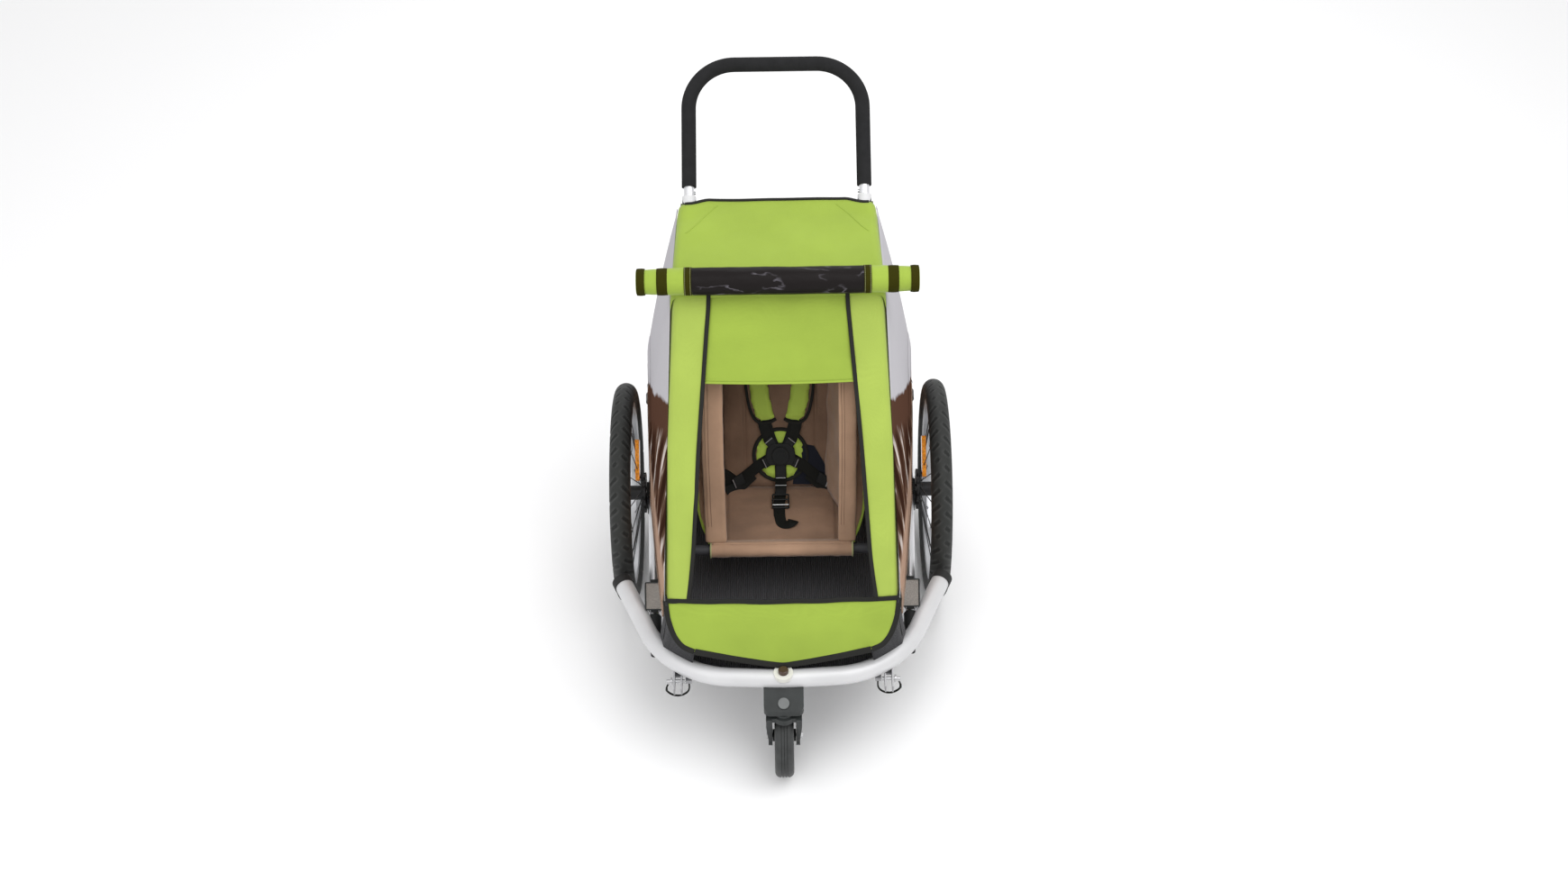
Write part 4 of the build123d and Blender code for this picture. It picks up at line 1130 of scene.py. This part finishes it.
def toe_skirt(name):
    """Black cloth that closes the corner between the front panel and the bow."""
    side = SIDES[name]

    def point(share, across):
        edge = toe_row(share, -3.0)[24 + side * 24]
        x = between(share, [0, 0.5, 1], [256, 250, 190])
        y = between(share, [0, 0.5, 1], [-428, -462, -506])
        low = at(side * x, y, lerp(262, 254, share))
        return edge.lerp(low, across) + Vector((0, 0, 0.006 * arch(across) * math.sin(share * 18)))
    skirt = thicken(grid(f"front_skirt_{name}", net(20, 10, point), "black_cloth"), 1.2)
    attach(skirt, "chassis")


def floor_cloth():
    """Black ribbed floor that sags slightly between rails and rises to the toe band."""
    low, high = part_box("floor_panel")

    def floor_point(along, across):
        u, v = across * 2 - 1, along * 2 - 1
        narrowed = min(1.0, lerp(230, 300, along) / 300)
        sag = -2.5 * (1 - u * u) * (1 - v * v)
        x, y = lerp(low.x, high.x, across), lerp(low.y, high.y, along)
        return Vector((x * narrowed, y, high.z + sag / 1000 - 0.0012))
    cloth_floor = thicken(grid("floor_cloth", net(44, 44, floor_point), "mesh"), 1.5)
    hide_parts("floor_panel")
    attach(cloth_floor, "chassis")

    def apron_point(along, across):
        z = lerp(392, 238, ease(along * 0.9 + 0.1) if along > 0 else 0)
        half = lerp(228, 232, along)
        return at(lerp(-half, half, across), lerp(-452, -330, along), z + 4 * arch(across) * along)
    apron = thicken(grid("footwell_mesh", net(24, 40, apron_point), "mesh"), 1.2)
    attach(apron, "chassis")


# ---- seat
BACK_OUT = Vector((0, -math.cos(RECLINE), math.sin(RECLINE)))
BOLSTER_LOW = (-268.0, 400.0)      # the padded front edge of the seat's sides, as (y, z)
BOLSTER_TOP = (-75.0, 770.0)
PAN_Y = (-282.0, -80.0)            # front and rear edge of the seat pan


def on_back(x, z, lift=0.0):
    """Point on the backrest's front face, lifted off it."""
    share = (z - BACK_FOOT[1]) / (BACK_TOP[1] - BACK_FOOT[1])
    return at(x, lerp(BACK_FOOT[0], BACK_TOP[0], share), z) + BACK_OUT * (lift / 1000)


def back_outline(corners):
    """outline(lift) for slab: (x, z) corners on the backrest."""
    return lambda lift: [on_back(x, z, lift) for x, z in corners]


def slab(name, outline, low, high, look):
    """Closed plate between two copies of an outline, of which outline(lift) gives the points."""
    under, over = outline(low), outline(high)
    count = len(under)
    faces = [tuple(range(count)), tuple(range(count, 2 * count))]
    faces += [(i, (i + 1) % count, count + (i + 1) % count, count + i) for i in range(count)]
    return mesh_piece(name, under + over, faces, look)


def groove(distance, depth, wide):
    return depth * np.exp(-(distance / wide) ** 2)


def creases(points, axis, wide, tall, seed):
    """Noise at each point, by its x and its coordinate on one other axis."""
    return np.array([rough_at(point[0] / wide, point[axis] / tall, seed) for point in points])


def back_cushion():
    """Backrest with two upright seams, a cross seam and the loops for the shoulder straps."""
    corners = ((-128, 345), (128, 345), (130, 600), (118, 815), (-118, 815), (-130, 600))
    # seat_back: the seat cloth painted darker, as painted shade inside the cabin
    cushion = inflate(slab("backrest_pad", back_outline(corners), -10, 0, "seat_back"), 5)

    def seams(p):
        depth = groove(np.abs(p[:, 0]) - 76, 2.2, 4.5) + groove(p[:, 2] - 610, 2.0, 5)
        return depth + 1.8 * creases(p, 2, 34, 60, 1.5)
    dent(cushion, seams)
    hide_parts("seat_sling")
    crumple(cushion)
    sewn = []
    for side in SIDES.values():
        for x in (73, 79):
            line = [on_back(side * x, z, 3.4) for z in np.linspace(372, 790, 12)]
            sewn.append(stitches("back_seam", flow(line, 60), 3.6, "dark_thread", BACK_OUT, 0.4))
    for z in (646, 652):
        line = [on_back(x, z + 3 * math.cos(x / 17 * math.pi), 5.5) for x in np.linspace(-19, 19, 12)]
        sewn.append(stitches("back_loops", flow(line, 30), 4.0, "thread", BACK_OUT, 0.5))
    whole = join("backrest_stitches", sewn)
    crumple(whole)


def pan_height(y):
    return between(y, [-290, -250, -180, -88], [372, 364, 360, 352])


def pan_cushion():
    """Seat pan with a seam along each side."""
    front, rear = PAN_Y
    corners = ((-130, rear), (-134, -180), (-137, front), (137, front), (134, -180), (130, rear))

    def outline(lift):
        return [at(x, y, pan_height(y) + lift) for x, y in corners]
    # seat_pan: the seat cloth painted darker, as painted shade inside the cabin
    cushion = inflate(slab("seat_pad", outline, -12, -1, "seat_pan"), 5)

    def seams(p):
        return groove(np.abs(p[:, 0]) - 117, 2.0, 4) + 1.5 * creases(p, 1, 40, 25, 8.5)
    dent(cushion, seams)
    crumple(cushion)


SEAT_TUBE = (-289, 371)            # y and z of the front seat tube's axis


def front_roll():
    """Cloth turned round the front seat tube, with its sewn ends and a few creases."""
    rows = []
    for j in range(81):
        x = lerp(-149, 149, j / 80)
        pinch = 1 + 0.05 * bell(abs(x) - 118, 9) - 0.05 * bell(abs(x) - 104, 6)
        row = []
        for i in range(32):
            turn = 2 * math.pi * i / 32
            c, s = math.cos(turn), math.sin(turn)
            r = 15.2 * pinch * (1 + 0.05 * rough_at(x / 26, c * 0.8, s * 0.8))
            row.append(at(x + 1.6 * s, SEAT_TUBE[0] + r * c, SEAT_TUBE[1] + r * s))
        rows.append(row)
    tube = grid("tube", rows, "seat", around=True, sharp=70)
    section = ((-288, 386.8), (-280, 385), (-270, 377), (-258, 368), (-250, 365))
    lip = [[at(lerp(-146, 146, j / 40), y, z) for y, z in section] for j in range(41)]
    pieces = [tube, thicken(grid("cover", lip, "seat"), 1.6)]
    for side in SIDES.values():
        ring = [at(side * 148.5, SEAT_TUBE[0] + 15.6 * math.cos(a), SEAT_TUBE[1] + 15.6 * math.sin(a))
                for a in np.linspace(0, 2 * math.pi, 25)]
        pieces.append(swept("piping", flow(ring, 40), oval(3.4, 3.4, 8, 1.0), "thread", Vector((1, 0, 0))))
    whole = join("seat_front_edge", pieces)
    crumple(whole)


BOLSTER_WIDE = {"left": 46, "right": 38}
BOLSTER_FORWARD = Vector((0, -0.887, 0.462))
WING_BACK = {"left": (129, 131), "right": (96, 112)}        # x of each wall's rear edge, foot and top
SIDE_EDGE = [                      # outer edge of the flap beside the bolster, as (x, y, z)
    (149, -280, 380), (150, -272, 386), (161, -254, 403), (169, -234, 424), (174, -212, 446),
    (176, -190, 470), (174, -120, 600), (166, -60, 720), (160, -24, 800),
]


def bolster(name):
    """Padded, double-sewn front edge of the seat's side."""
    side = SIDES[name]
    line = [at(side * 137, -277, 382)]
    for k in range(13):
        share = k / 12
        y, z = lerp(BOLSTER_LOW[0], BOLSTER_TOP[0], share), lerp(BOLSTER_LOW[1], BOLSTER_TOP[1], share)
        line.append(at(side * (137 + 3 * arch(share)), y, z))
    path = flow(line, 70)
    rows = []
    for n, point in enumerate(path):
        along = (path[min(n + 1, 69)] - path[max(n - 1, 0)]).normalized()
        up = (BOLSTER_FORWARD - along * BOLSTER_FORWARD.dot(along)).normalized()
        across = along.cross(up)
        row = []
        for a, b in oval(BOLSTER_WIDE[name], 19, 20, 0.55):
            swell = 1 + 0.05 * noise.noise(point * 30 + Vector((a * 40, b * 40, side)))
            inside = a * 1000 * side
            seam = 1.3 * (bell(inside + 8, 1.6) + bell(inside + 13, 1.6))
            row.append(point + across * a * swell + up * (b * swell - (seam / 1000 if b > 0 else 0)))
        rows.append(row)
    seams = []
    for k in (5, 6):
        sewn_line = flow([row[k] + BOLSTER_FORWARD * 0.0004 for row in rows[6:-3]], 80)
        seams.append(stitches("bolster_seam", sewn_line, 4.2, "dark_thread", BOLSTER_FORWARD, 0.5))
    sewn = join(f"bolster_stitches_{name}", seams)
    crumple(sewn)
    roll_piece = soften(grid(f"seat_bolster_{name}", rows, "seat", around=True, capped=True, sharp=80))
    crumple(roll_piece)


def seat_wall(name):
    """Cloth wall from the backrest to the bolster."""
    side = SIDES[name]

    def point(share, t):
        front = at(side * 139, lerp(BOLSTER_LOW[0], BOLSTER_TOP[0], share),
                   lerp(BOLSTER_LOW[1] - 6, BOLSTER_TOP[1], share))
        back = on_back(side * lerp(*WING_BACK[name], share), lerp(352, 806, share), 2)
        place = front.lerp(back, t)
        bulge = 7 * arch(t) + ripple(t * 150, share * 420, 45, 5.0)
        place.x += side * bulge / 1000
        return place
    wall = thicken(grid(f"seat_wing_{name}", net(40, 20, point), "seat"), 1.6)
    crumple(wall)


def seat_flap(name):
    """Cloth outside the bolster, painted lighter as painted light in its recess, with a green edge at its
    foot in the lighter pad green.
    """
    side = SIDES[name]
    edge = [at(side * x, y, z) for x, y, z in SIDE_EDGE]
    outer = flow(edge, 41)
    seam = [at(side * 139, -284, 384), at(side * 141, *BOLSTER_LOW), at(side * 141, *BOLSTER_TOP)]
    inner = flow(seam, 41)
    panel = []
    for k in range(41):
        lifts = [0.004 * arch(i / 12) + ripple(k * 12, i * 9, 40, 3.0) / 1000 for i in range(13)]
        panel.append([outer[k].lerp(inner[k], i / 12) + BACK_OUT * lift for i, lift in enumerate(lifts)])
    # seat_side: the seat cloth painted lighter, as painted light on this recessed flap
    flap = thicken(grid(f"seat_side_{name}", panel, "seat_side"), 1.2)
    crumple(flap)
    out = Vector((side * 0.3, -0.75, 0.6))
    # pad: the green painted lighter, as painted light on this edge
    fin = swept(f"seat_green_edge_{name}", flow(edge[:6], 40), oval(10, 2.6), "pad", out)
    crumple(fin)


# ---- harness
BUCKLE_Z = 421.0
STRAP = 24.0
STRAP_THICK = 1.8


def ring_points(radius_x, radius_z, centre_z, lift):
    turns = [2 * math.pi * i / 48 for i in range(48)]
    return [on_back(radius_x * math.cos(a), centre_z + radius_z * math.sin(a), lift) for a in turns]


def belly_pad():
    """Round green pad behind the buckle, bound in black."""
    def outline(lift):
        return ring_points(56, 52, BUCKLE_Z - 3, lift)
    pad = inflate(slab("belly_pad", outline, 4, 9, "pad"), 3, voxel=4.0)
    crumple(pad)
    ring = ring_points(57.5, 53.5, BUCKLE_Z - 3, 7)
    bound = swept("belly_pad_binding", ring, oval(7.5, 8.5), "binding", BACK_OUT, closed=True)
    crumple(bound)


def shoulder_pad(name):
    """Green shoulder pad that narrows towards the buckle, bound in black outside and below."""
    side = SIDES[name]
    corners = [(30, 664), (74, 664), (72, 590), (66, 530), (54, 497),
               (40, 488), (22, 489), (11, 494), (16, 530), (24, 590)]
    outline = back_outline([(side * x, z) for x, z in corners])
    pad = inflate(slab(f"shoulder_pad_{name}", outline, 3, 11, "pad"), 4, voxel=4.0)
    crumple(pad)
    bound_corners = ((75, 664), (74, 590), (68, 530), (56, 495.5), (40, 485.5), (22, 486.5), (9, 493))
    edge = [on_back(side * x, z, 8) for x, z in bound_corners]
    bound = swept(f"shoulder_binding_{name}", flow(edge, 60), oval(6, 11), "binding", BACK_OUT)
    crumple(bound)


def strap_piece(points, out=BACK_OUT, wide=STRAP, count=30):
    return swept("strap", flow(points, count), oval(wide, STRAP_THICK), "webbing", out)


def back_strap(points, **settings):
    """Strap over (x, z, lift) points of the backrest."""
    return strap_piece([on_back(x, z, lift) for x, z, lift in points], **settings)


HIP_POCKET = [(26, 357), (102, 355), (106, 374), (92, 404), (72, 436), (50, 440), (34, 420)]
HIP_FOLD = [(-134, 352), (-96, 350), (-92, 372), (-112, 386), (-134, 392)]


def straps():
    """Webbing of the harness: shoulders, waist and crotch, and the pockets of the waist straps."""
    pieces = []
    for side in SIDES.values():
        pieces.append(back_strap([(side * 46, 800, 2), (side * 47, 730, 3), (side * 49, 655, 5)]))
        lower = [(33, 500, 5), (29, 480, 10), (22, 458, 15), (14, 440, 19)]
        pieces.append(back_strap([(side * x, z, lift) for x, z, lift in lower], count=40))
        tail = [(37, 488, 11), (34, 476, 15), (28, 460, 18), (24, 450, 17)]
        pieces.append(back_strap([(side * x, z, lift) for x, z, lift in tail], wide=22))
        waist = [(22, 415, 18), (46, 400, 15), (66, 384, 13), (88, 368, 11), (104, 362, 9), (116, 358, 6)]
        pieces.append(back_strap([(side * x, z, lift) for x, z, lift in waist],
                                 out=BACK_OUT + Vector((0, 0, 0.5)), count=50))
        hip = [on_back(side * 60, 380, 11), on_back(side * 90, 356, 14), at(side * 118, -112, 360)]
        pieces.append(strap_piece(hip, out=Vector((0, -0.6, 0.8)), wide=26))
    crotch = [on_back(0, 404, 18), on_back(0, 390, 17), on_back(0, 372, 13), at(0, -112, 373),
              at(-2, -128, 366), at(-4, -160, 365), at(-4, -196, 365)]
    pieces.append(strap_piece(crotch, count=60, wide=25))
    loose_end = [at(-4, -150, 366), at(-3, -190, 367), at(1, -212, 368), at(12, -219, 371),
                 at(22, -217, 376), at(26, -209, 373)]
    pieces.append(strap_piece(loose_end, out=Vector((0, 0, 1)), wide=24, count=40))
    pieces.append(slab("pocket", back_outline(HIP_POCKET), 2.5, 9, "navy"))
    pieces.append(slab("fold", back_outline(HIP_FOLD), 2.5, 9, "webbing"))
    whole = join("harness_webbing", pieces)
    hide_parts("harness_straps")
    crumple(whole)


def rounded_plate(name, outline, low, high):
    """Black moulded plate: outline on the backrest as (x, z), with rounded edges."""
    piece = slab(name, back_outline(outline), low, high, "black_plastic")
    bevel = piece.modifiers.new("edges", "BEVEL")
    bevel.width = min(high - low, 5.0) / 1000 * 0.42
    bevel.segments = 3
    bevel.limit_method = "ANGLE"
    return piece


def circle(radius, count, height):
    """Corners of a circle on the backrest's middle line, as (x, z)."""
    turns = [2 * math.pi * i / count for i in range(count)]
    return [(radius * math.cos(turn), height + radius * math.sin(turn)) for turn in turns]


def bar(name, start, end, radius, look):
    line = [start, start.lerp(end, 0.5), end]
    return swept(name, line, oval(2 * radius, 2 * radius, 10, 1.0), look, Vector((0.2, 0.1, 0.97)))


def tongue(angle, reach, wide):
    """Strap tongue of the buckle, pointing at an angle, with a steel bar near its end."""
    c, s = math.cos(math.radians(angle)), math.sin(math.radians(angle))

    def turned(along, across):
        return along * c - across * s, BUCKLE_Z + along * s + across * c
    near = wide * 0.42
    corners = ((18, -near), (reach, -wide / 2), (reach, wide / 2), (18, near))
    plate = rounded_plate("tongue", [turned(*corner) for corner in corners], 14.5, 21)
    ends = [on_back(*turned(reach - 4, across), 22) for across in (-near, near)]
    return [plate, bar("tongue_bar", *ends, 0.9, "steel")]


def buckle():
    """Five-point buckle: a rounded body with a ring for the button, five tongues and two adjusters."""
    body = [(-26, -20), (26, -20), (33, -6), (30, 14), (17, 25), (-17, 25), (-30, 14), (-33, -6)]
    pieces = [
        rounded_plate("body", [(x, BUCKLE_Z + z) for x, z in body], 14, 22.5),
        rounded_plate("collar", circle(19, 32, BUCKLE_Z), 22, 26),
    ]
    for angle, reach, wide in (
            (128, 44, 22), (52, 44, 22), (205, 42, 22), (-25, 42, 22), (-90, 50, 25)):
        pieces += tongue(angle, reach, wide)
    for side in SIDES.values():
        hip = [(side * 84, 384), (side * 106, 372), (side * 98, 352), (side * 76, 364)]
        pieces.append(rounded_plate("hip_adjuster", hip, 13, 17))
        ends = on_back(side * 104, 371, 17.6), on_back(side * 97, 354, 17.6)
        pieces.append(bar("hip_bar", *ends, 1.3, "steel"))
    whole = join("harness_buckle", pieces)
    ladder = ladder_lock()
    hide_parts("harness_buckles")
    for piece in (whole, ladder):
        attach(piece, "buckle")


def ladder_lock():
    """Slide of the crotch strap: a frame with four cross bars and a domed tab."""
    pieces = []
    low, high = -168.0, -132.0
    for x in (-18, 16):
        pieces.append(bar("side_bar", at(x, low, 369), at(x, high, 371.5), 1.8, "black_plastic"))
    for y, look in ((low, "black_plastic"), (low + 8, "steel"),
                    (lerp(low, high, 0.62), "black_plastic"), (high, "black_plastic")):
        z = lerp(369.5, 372, (y - low) / (high - low))
        pieces.append(bar("cross_bar", at(-18, y, z), at(16, y, z), 2.0, look))
    turns = np.linspace(0, math.pi, 13)
    tab = [at(-1 + 11 * math.cos(a), high + 12 * math.sin(a), 372.5 + 3 * math.sin(a)) for a in turns]
    tab += [p + Vector((0, 0, -0.0025)) for p in tab]
    faces = [tuple(range(13)), tuple(range(13, 26)), (0, 12, 25, 13)]
    faces += [(i, i + 1, i + 14, i + 13) for i in range(12)]
    pieces.append(mesh_piece("tab", tab, faces, "black_plastic"))
    pieces.append(bar("keeper_bar", at(-12, -110, 378), at(12, -110, 378), 1.0, "steel"))
    return join("crotch_ladder", pieces)


# ---- wheels
def tyre(name):
    """Slick tyre with fine swept-back sipes and a rounded shoulder."""
    side = SIDES[name]
    crown_r = WHEEL_R - TYRE_HALF
    around, across, sipes = 640, 34, 46
    half_section = math.radians(142)
    rows = []
    for j in range(around + 1):
        turn = 2 * math.pi * j / around + math.pi
        row = []
        for i in range(across):
            s = lerp(-1, 1, i / (across - 1))
            angle = s * half_section
            x = TYRE_HALF * math.sin(angle)
            r = crown_r + TYRE_HALF * math.cos(angle)
            reach = abs(s)
            phase = (j / around * sipes + 1.4 * reach + (0.5 if s > 0 else 0.0)) % 1.0
            far = 0.42 + 0.16 * math.sin(j / around * 2 * math.pi * 9)
            cut = 1.9 * bell(phase - 0.5, 0.10) if 0.1 < reach < far else 0.0
            cut += 0.9 * bell(reach - 0.64, 0.018)
            r -= cut * math.cos(angle)
            x -= cut * math.sin(angle)
            row.append(at(side * WHEEL_X + x, r * math.sin(turn), WHEEL_R + r * math.cos(turn)))
        rows.append(row)
    cover = grid(f"tyre_tread_{name}", rows[:-1] + [rows[0]], "tyre", sharp=70)
    welded = bmesh.new()
    welded.from_mesh(cover.data)
    bmesh.ops.remove_doubles(welded, verts=welded.verts, dist=1e-6)
    welded.to_mesh(cover.data)
    welded.free()
    thicken(cover, 2.4, -1)
    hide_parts(f"tyre_{name}")
    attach(cover, f"wheel_{name}")

    turn = math.radians(35)
    hub = at(side * WHEEL_X, 0, WHEEL_R)
    inward = Vector((0, math.sin(turn), math.cos(turn)))
    stem = bar("stem", hub + inward * 0.196, hub + inward * 0.170, 2.6, "steel")
    cap = bar("cap", hub + inward * 0.176, hub + inward * 0.163, 3.6, "black_plastic")
    valve = join(f"valve_{name}", [stem, cap])
    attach(valve, f"wheel_{name}")


# ---- small details
def reflector_frame():
    """Black clips above and below each front reflector, and a bright rim round its lens."""
    pieces = []
    for side in SIDES.values():
        centre = at(side * 269.5, -339, 285)
        up = Vector((0, 0.70711, 0.70711))
        out = Vector((0, -0.70711, 0.70711))
        across = Vector((1, 0, 0))
        ring = [centre + across * (0.0190 * a) + up * (0.0285 * b) + out * 0.0042
                for a, b in ((-1, -1), (1, -1), (1, 1), (-1, 1))]
        for k in range(4):
            pieces.append(bar("rim", ring[k], ring[(k + 1) % 4], 1.5, "charcoal"))
        for end in (-1, 1):
            middle = centre + up * (0.0305 * end)
            line = [middle - across * 0.008, middle, middle + across * 0.008]
            pieces.append(swept("clip", line, oval(9, 6, 12, 0.3), "black_plastic", out))
    whole = join("reflector_clips", pieces)
    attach(whole, "chassis")


def main():
    paint_nodes()
    studio()
    for name in SIDES:
        pin_strap(name)
    roof()
    for name in SIDES:
        strip(name)
        toe_skirt(name)
        side_wall(name)
        bolster(name)
        seat_wall(name)
        seat_flap(name)
        shoulder_pad(name)
        tyre(name)
    sunshade()
    roll()
    rear_panel()
    toe_panel()
    floor_cloth()
    back_cushion()
    pan_cushion()
    front_roll()
    belly_pad()
    straps()
    buckle()
    reflector_frame()


main()
